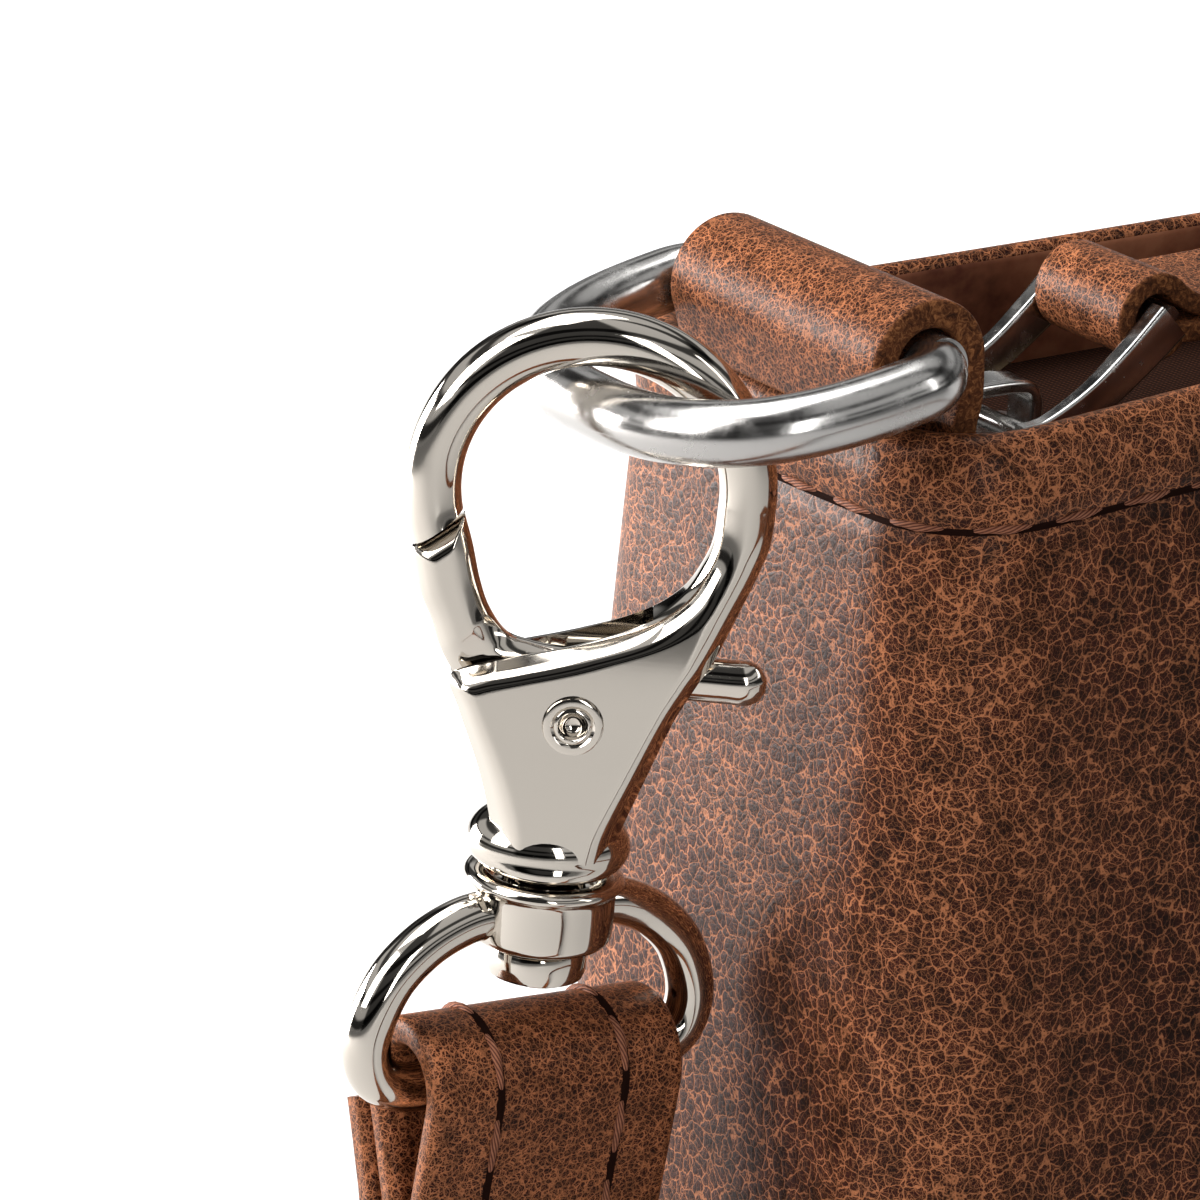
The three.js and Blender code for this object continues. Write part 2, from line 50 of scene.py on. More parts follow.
# %% Camera
camera = bpy.data.objects.new("camera", bpy.data.cameras.new("camera"))
camera.location = (-0.3770, -0.3920, 0.3031)
camera.rotation_euler = (math.radians(71), 0, math.radians(-32))
camera.data.angle = math.radians(9.527)
camera.data.clip_start = 0.02
camera.data.clip_end = 20
bpy.context.scene.collection.objects.link(camera)
bpy.context.scene.camera = camera
print("camera set at", tuple(round(v, 3) for v in camera.location))

# %% [markdown]
# The room's light and every finish are trees of shader nodes. They could be wired by hand in the node
# editor. Here a small helper adds a node and fills its sockets, which keeps each tree short to read.

# %% Node helpers
def node(tree, kind, out=0, **sockets):
    """New node with its sockets set to values or linked to other sockets; returns its output. A key is the
    socket's name, or its number after an i, and a key that starts with set_ is a property of the node."""
    n = tree.nodes.new(kind)
    for key, value in sockets.items():
        if key.startswith("set_"):
            setattr(n, key[4:], value)
            continue
        by_number = key[0] == "i" and key[1:].isdigit()
        socket = n.inputs[int(key[1:]) if by_number else key.replace("_", " ")]
        if isinstance(value, bpy.types.NodeSocket):
            tree.links.new(value, socket)
        else:
            socket.default_value = value
    return n.outputs[out]


def ramp(tree, factor, *stops):
    """Colour ramp with stops of position and colour or grey."""
    n = tree.nodes.new("ShaderNodeValToRGB")
    tree.links.new(factor, n.inputs[0])
    elements = n.color_ramp.elements
    while len(elements) < len(stops):
        elements.new(0.5)
    for element, (position, colour) in zip(elements, stops):
        element.position = position
        element.color = (*colour, 1) if np.ndim(colour) else (colour, colour, colour, 1)
    return n.outputs[0]


def mix(tree, factor, a, b):
    """Colour b laid over colour a by a factor."""
    n = tree.nodes.new("ShaderNodeMix")
    n.data_type = "RGBA"
    for socket, value in zip((n.inputs[0], n.inputs[6], n.inputs[7]), (factor, a, b)):
        if isinstance(value, bpy.types.NodeSocket):
            tree.links.new(value, socket)
        else:
            socket.default_value = value if np.ndim(value) == 0 else (*value, 1)
    return n.outputs[2]


def math_node(tree, how, a, b):
    """Arithmetic on two values."""
    return node(tree, "ShaderNodeMath", set_operation=how, i0=a, i1=b)


print("node helpers ready")

# %% [markdown]
# Bright metal is mostly a picture of the room, so the room matters more than the metal's own colour.
# Large soft panels give the white bands, and dark rings and gaps in the room's wall give the black ones.
# The room is a colour ramp on the height of the direction that a ray leaves in, times one on its bearing.

# %% Studio
def studio_panel(name, place, aim, size, power, tint=(1, 1, 1)):
    """Rectangular area light at a place, turned to face a point."""
    data = bpy.data.lights.new(name, "AREA")
    data.shape = "RECTANGLE"
    data.size, data.size_y = size
    data.energy = power
    data.color = tint
    light = bpy.data.objects.new(name, data)
    way = np.subtract(aim, place) / np.linalg.norm(np.subtract(aim, place))
    light.location = place
    light.rotation_euler = (math.acos(-way[2]), 0, math.atan2(way[1], way[0]) - math.pi / 2)
    bpy.context.scene.collection.objects.link(light)


HOOK_SPOT = (-0.13, -0.01, 0.13)
studio_panel("panel_left", (-1.0, 0.05, 0.75), HOOK_SPOT, (0.5, 0.8), 11.0, (1.0, 0.98, 0.97))
studio_panel("panel_back", (-0.62, 0.72, 0.20), (-0.12, 0.0, 0.08), (0.5, 0.4), 17.0, (1.0, 0.97, 0.96))
studio_panel("panel_top", (-0.20, 0.15, 0.85), HOOK_SPOT, (0.6, 0.45), 4.0)
studio_panel("panel_front", (-0.42, -0.95, 0.42), HOOK_SPOT, (0.16, 0.6), 2.4)
studio_panel("panel_right", (0.45, -0.75, 0.60), HOOK_SPOT, (0.12, 0.6), 0.9)

HEIGHT_BANDS = (
    (0.0, 0.3), (0.5, 0.3), (0.515, 0.03), (0.56, 0.03), (0.575, 0.6), (0.62, 0.65), (0.635, 0.06),
    (0.67, 0.06), (0.69, 0.8), (0.78, 0.85), (0.8, 0.08), (0.86, 0.08), (0.88, 0.85), (1.0, 0.95),
)
BEARING_BANDS = (
    (0.0, 1.0), (0.05, 1.0), (0.065, 0.1), (0.2, 0.1), (0.215, 1.0), (0.4, 1.0), (0.415, 0.1),
    (0.47, 0.1), (0.485, 1.0), (0.7, 1.0), (0.715, 0.1), (0.78, 0.1), (0.795, 1.0), (1.0, 1.0),
)
ROOM_STRENGTH = 0.72
world = bpy.data.worlds.new("pale_room")
world.use_nodes = True
room = world.node_tree
direction = node(room, "ShaderNodeTexCoord")
rise = node(room, "ShaderNodeSeparateXYZ", out=2, Vector=direction)
height = node(room, "ShaderNodeMapRange", Value=rise, From_Min=-1.0)
bearing = node(room, "ShaderNodeTexGradient", out=1, set_gradient_type="RADIAL", Vector=direction)
height_shade, bearing_shade = ramp(room, height, *HEIGHT_BANDS), ramp(room, bearing, *BEARING_BANDS)
wall = node(room, "ShaderNodeVectorMath", set_operation="MULTIPLY", i0=height_shade, i1=bearing_shade)
room.links.new(wall, room.nodes["Background"].inputs["Color"])
room.nodes["Background"].inputs["Strength"].default_value = ROOM_STRENGTH
bpy.context.scene.world = world
bpy.context.scene.view_settings.view_transform = "Standard"

# %% [markdown]
# Many pieces follow a path: a strap, a wire, the edge of a plate. A curve object could carry a profile
# along it, but its points are then hard to reach. Here a path is an array of points in millimetres, read
# at even steps from a smooth curve through a few knots.

# %% Paths
def run_length(path):
    """Distance along a path at each of its points, by adding up its steps."""
    return np.r_[0, np.cumsum(np.linalg.norm(np.diff(path, axis=0), axis=-1))]


def unit(v):
    """Vectors scaled to length one."""
    return v / np.maximum(np.linalg.norm(v, axis=-1, keepdims=True), 1e-12)


def spline(points, count, closed=False):
    """Catmull-Rom curve through the points, read at even steps of its length."""
    p = np.asarray(points, float)
    before, after = (p[-1:], p[:2]) if closed else (2 * p[:1] - p[1:2], 2 * p[-1:] - p[-2:-1])
    q = np.vstack([before, p, after])
    a, b, c, d = (q[i:len(q) - 3 + i, None] for i in range(4))
    t = np.linspace(0, 1, 40, endpoint=False)[:, None]
    curve = 0.5 * (2 * b + (c - a) * t + (2 * a - 5 * b + 4 * c - d) * t**2 + (3 * b - a - 3 * c + d) * t**3)
    curve = np.vstack([curve.reshape(-1, p.shape[1]), p[:1] if closed else p[-1:]])
    run = run_length(curve)
    at = np.linspace(0, run[-1], count + closed)[:count]
    return np.stack([np.interp(at, run, curve[:, k]) for k in range(p.shape[1])], axis=1)


def along(path, closed=False):
    """Unit tangents of a path by central differences."""
    if closed:
        return unit(np.roll(path, -1, axis=0) - np.roll(path, 1, axis=0))
    return unit(np.gradient(path, axis=0))


def upright(line, y=0.0):
    """Path in the upright plane at a depth of y, from pairs of x and z."""
    return np.insert(line, 1, y, axis=1)


print("path helpers ready")

# %% [markdown]
# Every piece is made of skins. A skin is a grid of points, closed round its sides and at its ends, so that
# it has an inside. Three attributes travel with the points: flow holds the distances along and across the
# surface, cut marks raw leather edges, and wear marks the places that hands rub.

# %% Skins
def skin(grid, round_u=False, flow=None, cut=0.0, wear=0.0, finish=0):
    """Closed surface over a grid of points in millimetres, round in v. In u it is round too, or it has flat
    lids on its first and last row."""
    nu, nv = grid.shape[:2]
    index = np.arange(nu * nv).reshape(nu, nv)
    rows = np.vstack([index, index[:1]]) if round_u else index
    rows = np.hstack([rows, rows[:, :1]])
    quads = np.stack([rows[:-1, :-1], rows[:-1, 1:], rows[1:, 1:], rows[1:, :-1]], axis=-1).reshape(-1, 4)
    lids = [] if round_u else [index[0][::-1], index[-1]]
    if flow is None:
        runs = run_length(grid[:, 0]), run_length(grid[nu // 2])
        flow = np.stack(np.meshgrid(*runs, indexing="ij"), axis=-1)
    row_finish = np.reshape(finish, (-1, 1))
    return {
        "points": grid.reshape(-1, 3),
        "quads": quads,
        "lids": lids,
        "flow": np.broadcast_to(flow, (nu, nv, 2)).reshape(-1, 2),
        "cut": np.broadcast_to(cut, (nu, nv)).reshape(-1),
        "wear": np.broadcast_to(wear, (nu, nv)).reshape(-1),
        "finish": np.broadcast_to(row_finish, (len(rows) - 1, rows.shape[1] - 1)).reshape(-1),
    }


def round_steps(count):
    """Even angles round a full turn, without the last, which is the first again."""
    return np.linspace(0, 2 * np.pi, count, endpoint=False)


def sweep(path, across, through, section):
    """Grid of a flat section carried along a path: point plus across times w plus through times t."""
    return path[:, None] + across[:, None] * section[..., :1] + through[:, None] * section[..., 1:]


def circle(radius, count):
    """Round section as pairs of across and through."""
    a = round_steps(count)
    return radius * np.stack([np.cos(a), np.sin(a)], axis=1)


def turned(profile, count=64, wrap=False):
    """Solid of revolution about Z: each profile pair of radius and height becomes a circle."""
    profile = np.asarray(profile, float)
    a = round_steps(count)
    r, z = profile[:, :1], profile[:, 1:]
    grid = np.stack([r * np.cos(a), r * np.sin(a), np.broadcast_to(z, (len(profile), count))], axis=-1)
    return skin(grid, round_u=wrap)


def rot(axis, degrees):
    """Matrix that turns about X, Y or Z."""
    c, s = math.cos(math.radians(degrees)), math.sin(math.radians(degrees))
    return {
        "x": np.array([[1, 0, 0], [0, c, -s], [0, s, c]]),
        "y": np.array([[c, 0, s], [0, 1, 0], [-s, 0, c]]),
        "z": np.array([[c, -s, 0], [s, c, 0], [0, 0, 1]]),
    }[axis]


def moved(s, turn=None, shift=(0, 0, 0), mirror=False):
    """Skin turned by a matrix, shifted, and mirrored across the middle of the case where asked."""
    points = s["points"] if turn is None else s["points"] @ turn.T
    points = points + np.asarray(shift, float)
    return {**s, "points": points * ((-1, 1, 1) if mirror else (1, 1, 1))}


print("skin helpers ready")

# %% [markdown]
# A piece is one mesh made of one or more skins. Points could be added one by one with bmesh, but whole
# arrays go in much faster with foreach_set. A skin whose signed volume is negative is inside out, so its
# faces are turned round. Then the piece is told which CAD body it rides on and which node it stands for.

# %% Pieces
CREASE = 38
SIDES = {"left": False, "right": True}


def volume(points, quads, lids):
    """Signed volume of a closed skin: the sum over its triangles of a dot (b cross c) over six."""
    tris = [quads[:, [0, 1, 2]], quads[:, [0, 2, 3]]]
    tris += [np.stack([np.full(len(lid) - 2, lid[0]), lid[1:-1], lid[2:]], axis=1) for lid in lids]
    a, b, c = np.moveaxis(points[np.vstack(tris)], 1, 0)
    return np.einsum("ij,ij->", a, np.cross(b, c)) / 6


def piece(name, skins, finishes, body, replaces=()):
    """Mesh object made of skins, each turned so that its volume is positive, riding on a CAD body."""
    points, loops, totals, finish, flow, marks = [], [], [], [], [], []
    start = 0
    for s in skins:
        turn = slice(None) if volume(s["points"], s["quads"], s["lids"]) > 0 else slice(None, None, -1)
        points.append(s["points"])
        flow.append(s["flow"])
        marks.append(np.stack([s["cut"], s["wear"]]))
        loops.append(s["quads"][:, turn].reshape(-1) + start)
        loops += [lid[turn] + start for lid in s["lids"]]
        totals += [4] * len(s["quads"]) + [len(lid) for lid in s["lids"]]
        finish += [*s["finish"], *s["finish"][[0, -1][:len(s["lids"])]]]
        start += len(s["points"])
    points, loops, totals = np.vstack(points) * MM, np.concatenate(loops), np.array(totals)
    mesh = bpy.data.meshes.new(name)
    mesh.vertices.add(len(points))
    mesh.vertices.foreach_set("co", points.ravel())
    mesh.loops.add(len(loops))
    mesh.loops.foreach_set("vertex_index", loops.astype(np.int32))
    mesh.polygons.add(len(totals))
    mesh.polygons.foreach_set("loop_start", np.r_[0, np.cumsum(totals)[:-1]].astype(np.int32))
    mesh.polygons.foreach_set("material_index", np.array(finish, np.int32))
    mesh.polygons.foreach_set("use_smooth", np.ones(len(totals), bool))
    run = np.hstack([np.vstack(flow) * MM, np.zeros((len(points), 1))])
    mesh.attributes.new("flow", "FLOAT_VECTOR", "POINT").data.foreach_set("vector", run.ravel())
    for mark, values in zip(("cut", "wear"), np.hstack(marks)):
        mesh.attributes.new(mark, "FLOAT", "POINT").data.foreach_set("value", values)
    mesh.update(calc_edges=True)
    mesh.validate()
    mesh.set_sharp_from_angle(angle=math.radians(CREASE))
    for material in finishes:
        mesh.materials.append(material)
    made = bpy.data.objects.new(name, mesh)
    bpy.context.scene.collection.objects.link(made)
    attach(made, body)
    if replaces:
        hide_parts(*replaces)
    print(f"{name}: {len(points)} points, {len(totals)} faces")
    return made


print("pieces come in pairs at the", " and ".join(SIDES), "end")

# %% [markdown]
# A finish is a material with one Principled shader. It reads Object coordinates, or attributes of the
# points where a pattern follows the surface. A bump turns a pattern of heights into small tilts of the
# surface, which is enough for grain that is finer than the mesh. Shaders take colours in linear light, so
# colours that were chosen on a screen are converted first.

# %% Finish helpers
def finish(name, **sockets):
    """New material with one Principled shader; returns the material, its tree and the shader."""
    material = bpy.data.materials.new(name)
    material.use_nodes = True
    shader = material.node_tree.nodes["Principled BSDF"]
    for key, value in sockets.items():
        shader.inputs[key.replace("_", " ")].default_value = value
    return material, material.node_tree, shader


def dress(tree, shader, height, strength, distance, colour=None):
    """Links to a shader: a bump made from a height, and a colour where one is given."""
    bump = node(tree, "ShaderNodeBump", Strength=strength, Distance=distance, Height=height)
    tree.links.new(bump, shader.inputs["Normal"])
    if colour is not None:
        tree.links.new(colour, shader.inputs["Base Color"])


def srgb(r, g, b):
    """Linear colour from screen values of 0 to 255."""
    c = np.array([r, g, b]) / 255
    return tuple(np.where(c <= 0.04045, c / 12.92, ((c + 0.055) / 1.055) ** 2.4).tolist())


print("finish helpers ready")

# %% [markdown]
# The case leather is waxed and pulled: dark plum cells of a millimetre or two, parted by a thin net of
# lighter orange-brown where the wax has cracked. A Voronoi texture that measures the distance to the
# nearest cell wall gives that net, and noise bends the walls so that they don't look drawn.

# %% Leather finishes
def leather_finish(name, cell, dark, mid, net, widths, strengths, roughness, relief):
    """Cracked leather: three sizes of Voronoi cell with bent walls, each wall a line of the net's colour."""
    material, tree, shader = finish(name, Roughness=roughness, Specular_IOR_Level=0.075)
    place = node(tree, "ShaderNodeTexCoord", out=3)
    bent = place
    for size, reach in ((0.30 / cell, 0.8 * cell), (2.4 / cell, 0.2 * cell)):
        bend = node(tree, "ShaderNodeTexNoise", out=1, Vector=place, Scale=size, Detail=2.0)
        bend = node(tree, "ShaderNodeVectorMath", set_operation="SUBTRACT", i0=bend, i1=(0.5, 0.5, 0.5))
        push = (2 * reach,) * 3
        bent = node(tree, "ShaderNodeVectorMath", set_operation="MULTIPLY_ADD", i0=bend, i1=push, i2=bent)
    tone = node(tree, "ShaderNodeTexNoise", Vector=place, Scale=0.45 / cell, Detail=5.0, Roughness=0.7)
    cloud = node(tree, "ShaderNodeTexNoise", Vector=place, Scale=0.07 / cell, Detail=3.0)
    wear = node(tree, "ShaderNodeAttribute", out=2, set_attribute_name="wear")
    rub = math_node(tree, "ADD", ramp(tree, cloud, (0.4, 0.0), (0.75, 0.5)), wear)
    patchy = node(
        tree, "ShaderNodeMapRange", Value=tone, From_Min=0.36, From_Max=0.64, To_Min=0.45, To_Max=1.3
    )
    flesh = mix(tree, ramp(tree, tone, (0.38, 0.0), (0.66, 1.0)), dark, mid)
    colour, relief_height = mix(tree, math_node(tree, "MULTIPLY", rub, 0.012), flesh, net), None
    for share, width, base, gain in zip((1.0, 2.1, 4.3), widths, *strengths):
        walls = node(
            tree, "ShaderNodeTexVoronoi", set_feature="DISTANCE_TO_EDGE", Vector=bent, Scale=share / cell
        )
        line = ramp(tree, walls, (0.0, 1.0), (width * 0.4, 0.75), (width, 0.0))
        strength = node(tree, "ShaderNodeMath", set_operation="MULTIPLY_ADD", i0=rub, i1=gain, i2=base)
        shown = math_node(tree, "MULTIPLY", line, math_node(tree, "MULTIPLY", strength, patchy))
        shown.node.use_clamp = True
        colour = mix(tree, shown, colour, net)
        pebble = math_node(tree, "MULTIPLY", ramp(tree, walls, (0.0, 0.0), (0.25, 1.0)), 1 / share)
        relief_height = pebble if relief_height is None else math_node(tree, "ADD", relief_height, pebble)
    raw = node(tree, "ShaderNodeAttribute", out=2, set_attribute_name="cut")
    fibre = node(
        tree, "ShaderNodeTexNoise", Vector=place, Scale=1500.0, Detail=5.0, Roughness=0.75, Distortion=1.5
    )
    fray = ramp(tree, fibre, (0.34, srgb(38, 21, 13)), (0.5, srgb(82, 48, 28)), (0.7, srgb(150, 98, 60)))
    gloss = node(tree, "ShaderNodeMath", set_operation="MULTIPLY_ADD", i0=tone, i1=0.25, i2=roughness - 0.12)
    gloss = math_node(tree, "MAXIMUM", gloss, math_node(tree, "MULTIPLY", raw, 0.9))
    tree.links.new(gloss, shader.inputs["Roughness"])
    relief_height = math_node(tree, "ADD", relief_height, math_node(tree, "MULTIPLY", fibre, raw))
    dress(tree, shader, relief_height, relief, 0.25 * cell, mix(tree, raw, colour, fray))
    return material


case_leather = leather_finish(
    "case_leather", 0.00105, srgb(20, 7, 4), srgb(48, 19, 13), srgb(160, 102, 68),
    (0.055, 0.055, 0.06), ((0.75, 0.3, 0.0), (0.4, 0.6, 0.6)), 0.36, 0.1
)
strap_leather = leather_finish(
    "strap_leather", 0.0005, srgb(22, 8, 5), srgb(48, 20, 13), srgb(168, 106, 70),
    (0.10, 0.11, 0.2), ((0.75, 0.45, 0.0), (0.3, 0.5, 0.0)), 0.4, 0.15
)
lining, lining_tree, lining_shader = finish("lining", Roughness=0.6, Specular_IOR_Level=0.15)
lining_place = node(lining_tree, "ShaderNodeTexCoord", out=3)
lining_tone = node(
    lining_tree, "ShaderNodeTexNoise", Vector=lining_place, Scale=55.0, Detail=6.0, Roughness=0.62
)
lining_colour = ramp(
    lining_tree, lining_tone, (0.40, srgb(92, 52, 38)), (0.5, srgb(140, 88, 64)), (0.6, srgb(172, 114, 84))
)
dress(lining_tree, lining_shader, lining_tone, 0.3, 0.0002, lining_colour)
print("leather finishes:", case_leather.name, strap_leather.name, lining.name)

# %% [markdown]
# The hooks and eyes are mirror-polished nickel, warm and a little grey. The rings have seen more wear,
# so they are duller. Fine noise makes the shine vary from place to place, and a slower noise bends the
# reflections a little, because no polished casting is quite even.

# %% Metal finishes
def metal_finish(name, colour, roughness, wear, uneven):
    """Polished metal whose roughness rises a little with fine noise and whose surface is barely uneven."""
    material, tree, shader = finish(name, Base_Color=(*colour, 1), Metallic=1.0, Roughness=roughness)
    place = node(tree, "ShaderNodeTexCoord", out=3)
    haze = node(tree, "ShaderNodeTexNoise", Vector=place, Scale=420.0, Detail=6.0, Roughness=0.7)
    rough = ramp(tree, haze, (0.45, roughness), (0.75, roughness + wear))
    tree.links.new(rough, shader.inputs["Roughness"])
    swell = node(tree, "ShaderNodeTexNoise", Vector=place, Scale=160.0, Detail=2.0)
    dress(tree, shader, swell, uneven, 0.0001)
    return material


nickel = metal_finish("nickel", srgb(204, 197, 187), 0.05, 0.05, 0.05)
worn_nickel = metal_finish("worn_nickel", srgb(186, 184, 181), 0.17, 0.2, 0.12)
dark_metal = metal_finish("dark_metal", srgb(132, 112, 84), 0.3, 0.2, 0.1)
print("metal finishes:", nickel.name, worn_nickel.name, dark_metal.name)

# %% [markdown]
# Sewing thread is two strands twisted together. The twist follows the thread, so it is drawn as slanted
# stripes on the flow attribute. The zip's cloth is a plain weave on Object coordinates.

# %% Thread and cloth finishes
thread, thread_tree, thread_shader = finish("thread", Roughness=0.6, Specular_IOR_Level=0.1)
thread_flow = node(thread_tree, "ShaderNodeAttribute", out=1, set_attribute_name="flow")
thread_turn = node(thread_tree, "ShaderNodeMapping", Vector=thread_flow, Rotation=(0, 0, 1.2))
thread_twist = node(thread_tree, "ShaderNodeTexWave", out=1, Vector=thread_turn, Scale=1400.0, Distortion=0.5)
thread_colour = ramp(thread_tree, thread_twist, (0.15, srgb(76, 42, 31)), (0.8, srgb(142, 93, 70)))
dress(thread_tree, thread_shader, thread_twist, 0.3, 0.00015, thread_colour)

# Flat dark colour of painted shade, for the needle holes and for the groove beside each seam.
painted_stitch_shade = finish(
    "painted_stitch_shade", Base_Color=(*srgb(26, 12, 8), 1), Roughness=0.9, Specular_IOR_Level=0.03
)[0]

zip_cloth, cloth_tree, cloth_shader = finish("zip_cloth", Roughness=0.85, Specular_IOR_Level=0.05)
cloth_place = node(cloth_tree, "ShaderNodeTexCoord", out=3)
warp = node(cloth_tree, "ShaderNodeTexWave", out=1, set_bands_direction="X", Vector=cloth_place, Scale=800.0)
weft = node(cloth_tree, "ShaderNodeTexWave", out=1, set_bands_direction="Y", Vector=cloth_place, Scale=800.0)
weave = math_node(cloth_tree, "MULTIPLY", warp, weft)
cloth_colour = ramp(cloth_tree, weave, (0.1, srgb(30, 17, 12)), (0.8, srgb(70, 43, 31)))
dress(cloth_tree, cloth_shader, weave, 0.5, 0.0002, cloth_colour)
print("thread and cloth finishes ready")

# %% [markdown]
# The case's body is one leather wall with soft rounded corners. Its plan outline changes with height:
# it widens towards the base, and the long front panel draws in at the mouth. A table of sections
# drives the shape, and a spline through the table's rows keeps the wall smooth between them.

# %% Case outline
SECTIONS = np.array([
    # height, half length, half depth, set back, side swell, front swell, back swell
    [0.0, 118.4, 22.4, 0.0, 1.0, 0.0, 0.0],
    [1.2, 120.6, 24.6, 0.0, 1.2, 0.3, 0.3],
    [5.0, 121.8, 26.0, 0.0, 1.6, 0.8, 0.8],
    [14.0, 122.2, 26.5, 0.2, 2.0, 1.6, 1.6],
    [50.0, 122.0, 26.4, 0.7, 2.4, 2.6, 2.6],
    [90.0, 121.4, 25.2, 1.2, 2.2, 1.0, 1.8],
    [120.0, 120.4, 24.0, 1.0, 1.8, -2.0, 0.2],
    [142.0, 118.9, 23.2, 0.5, 1.5, -5.0, -1.5],
    [152.0, 118.2, 22.5, 0.2, 1.3, -7.4, -3.0],
    [157.7, 117.9, 21.6, 0.0, 1.2, -9.0, -4.0],
])
WALL, CORNER, RIM_HEIGHT, RIM_ROUND, SEAM_DROP = 2.4, 8.5, 157.7, 1.1, 6.3
GROOVE_DEPTH, GROOVE_WIDTH, CORNER_STEPS = 0.4, 0.6, 13


def case_outline(heights, insets):
    """Grid of plan outlines: rounded rectangles whose sides swell by one minus the square of the way along.
    Each point is an anchor, which is a corner's centre or a step between two, plus an arm of the corner's
    radius. At the mouth the back is drawn down a little."""
    z, inset = np.asarray(heights, float), np.asarray(insets, float)
    smooth = spline(SECTIONS, 500)
    length, depth, shift, side, front, back = (np.interp(z, smooth[:, 0], c) for c in smooth[:, 1:].T)
    bend = np.radians(np.linspace(0, 90, CORNER_STEPS))
    corners = [np.c_[np.cos(bend + k * np.pi / 2), np.sin(bend + k * np.pi / 2)] for k in range(4)]
    signs = [(1, 1), (-1, 1), (-1, -1), (1, -1)]
    anchor, arm = [], []
    for k, (corner, sign) in enumerate(zip(corners, signs)):
        following = signs[(k + 1) % 4]
        steps = np.linspace(0, 1, 120 if k % 2 == 0 else 22)[1:-1, None]
        between_corners = np.array(sign) * (1 - steps) + np.array(following) * steps
        anchor += [np.tile(sign, (CORNER_STEPS, 1)), between_corners]
        arm += [corner, np.tile(corner[-1], (len(steps), 1))]
    anchor, arm = np.vstack(anchor), np.vstack(arm)
    col = lambda v: v[:, None]
    x = anchor[:, 0] * col(length - CORNER) + arm[:, 0] * col(CORNER - inset)
    y = anchor[:, 1] * col(depth - CORNER) + arm[:, 1] * col(CORNER - inset)
    fall = 0.4 * np.clip((z - 120) / 30, 0, 1)
    lean = np.clip((y + 22) / 44, 0, 1)
    swell_x = col(side) * (1 - (y / col(depth)) ** 2) * (x / col(length)) ** 3
    swell_y = np.where(y > 0, col(back), col(front)) * (1 - (x / col(length)) ** 2) * (y / col(depth))
    return np.stack([x + swell_x, y + swell_y + col(shift), col(z) - col(fall) * lean], axis=-1)


def outward(grid):
    """Unit normals of the outlines in plan, by turning their tangents a quarter turn."""
    t = np.roll(grid, -1, axis=-2) - np.roll(grid, 1, axis=-2)
    return unit(np.stack([t[..., 1], -t[..., 0], np.zeros_like(t[..., 0])], axis=-1))


print("case outline from", len(SECTIONS), "sections")

# %% [markdown]
# The wall goes up the outside, turns over at the rim and goes down the inside to the floor of the case,
# all as one grid. Solidify could give the wall its thickness, but the turned rim needs its own profile.
# Shallow waves dent the panels as worn leather does, and a groove and a bulge shape the sewn hem.

# %% Case body
wall_up = np.r_[
    0, 0.3, 0.7, 1.2, 2.0, 3.2, 5.0, 8.0, 11.0, np.linspace(14, 146, 45), np.linspace(147, 156.6, 22)
]
rim_turn = np.linspace(0, np.pi, 9)[1:-1]
wall_down = np.r_[np.linspace(156.6, 147, 8), np.linspace(140, 8, 24), 4.2]
heights = np.r_[wall_up, RIM_HEIGHT - RIM_ROUND + RIM_ROUND * np.sin(rim_turn), wall_down, 2.6]
insets = np.r_[wall_up * 0, WALL / 2 * (1 - np.cos(rim_turn)), wall_down * 0 + WALL, 2 * WALL]
body_grid = case_outline(heights, insets)
outside = body_grid[:len(wall_up)]
hem = (RIM_HEIGHT - wall_up)[:, None]
groove = GROOVE_DEPTH * np.exp(-((hem - SEAM_DROP) / GROOVE_WIDTH) ** 2)
bulge = 0.45 * np.exp(-((hem - SEAM_DROP + 3.0) / 1.9) ** 2)
px, py, pz = np.moveaxis(outside, -1, 0)
dents = 0.35 * np.sin(px / 31 + 1.1) * np.sin(pz / 27 + py / 19) + 0.2 * np.sin(px / 13 + pz / 17)
dents *= np.clip(wall_up / 20, 0, 1)[:, None] * np.clip(hem / 12, 0.25, 1)
outside += outward(outside) * (dents - groove + bulge)[..., None]
row_finish = np.where(np.arange(len(heights) - 1) < len(wall_up) + 6, 0, 1)
hem_wear = np.interp(RIM_HEIGHT - heights, [0, 5, SEAM_DROP, 9, 40], [0.9, 0.8, 0.25, 0.3, 0.0])[:, None]
corner_far = np.hypot(np.abs(body_grid[..., 0]) - 116, np.abs(body_grid[..., 1]) - 21)
corner_wear = 0.55 * np.exp(-(corner_far / 9) ** 2)
body_skin = skin(body_grid, wear=np.maximum(hem_wear, corner_wear), finish=row_finish)
piece("case_body", [body_skin], [case_leather, lining], "case", ["shell"])

# %% [markdown]
# Seams are sewn with a thick thread. Each stitch is a short arch of thread between two needle holes, and the
# tight thread presses a groove into the leather. The shade in the holes and in the groove is painted: dark
# domes at the holes and a dark strip beside the seam. The stitches could be copies of one mesh along a curve.
# Here all those of a seam are worked out at once, so that each follows the seam's own bends.

# %% Stitches
STITCH_PITCH, STITCH_LENGTH, THREAD = 6.1, 5.1, 0.3


def stitches(point, normal, way):
    """Twisted thread along rows of points: a section with two lobes, which turns as it is carried along,
    lifted by a shallow cosine arch, so that the two strands show and both ends sink into the leather."""
    side = unit(np.cross(way, normal))
    u = np.linspace(-1, 1, point.shape[1])
    a = round_steps(12)
    arch = np.cos(u * np.pi / 2)
    lift = THREAD * (1.25 * arch - 0.95)
    slim = THREAD * (0.7 + 0.3 * arch)[:, None] * (1 + 0.2 * np.cos(2 * a - 7.0 * u[:, None]))
    ring = side[:, :, None] * np.cos(a)[:, None] + normal[:, :, None] * np.sin(a)[:, None]
    grid = (point + normal * lift[:, None])[:, :, None] + ring * slim[..., None]
    flow = np.stack(np.meshgrid(u * STITCH_LENGTH / 2, a * THREAD, indexing="ij"), axis=-1)
    return [skin(g, flow=flow) for g in grid]


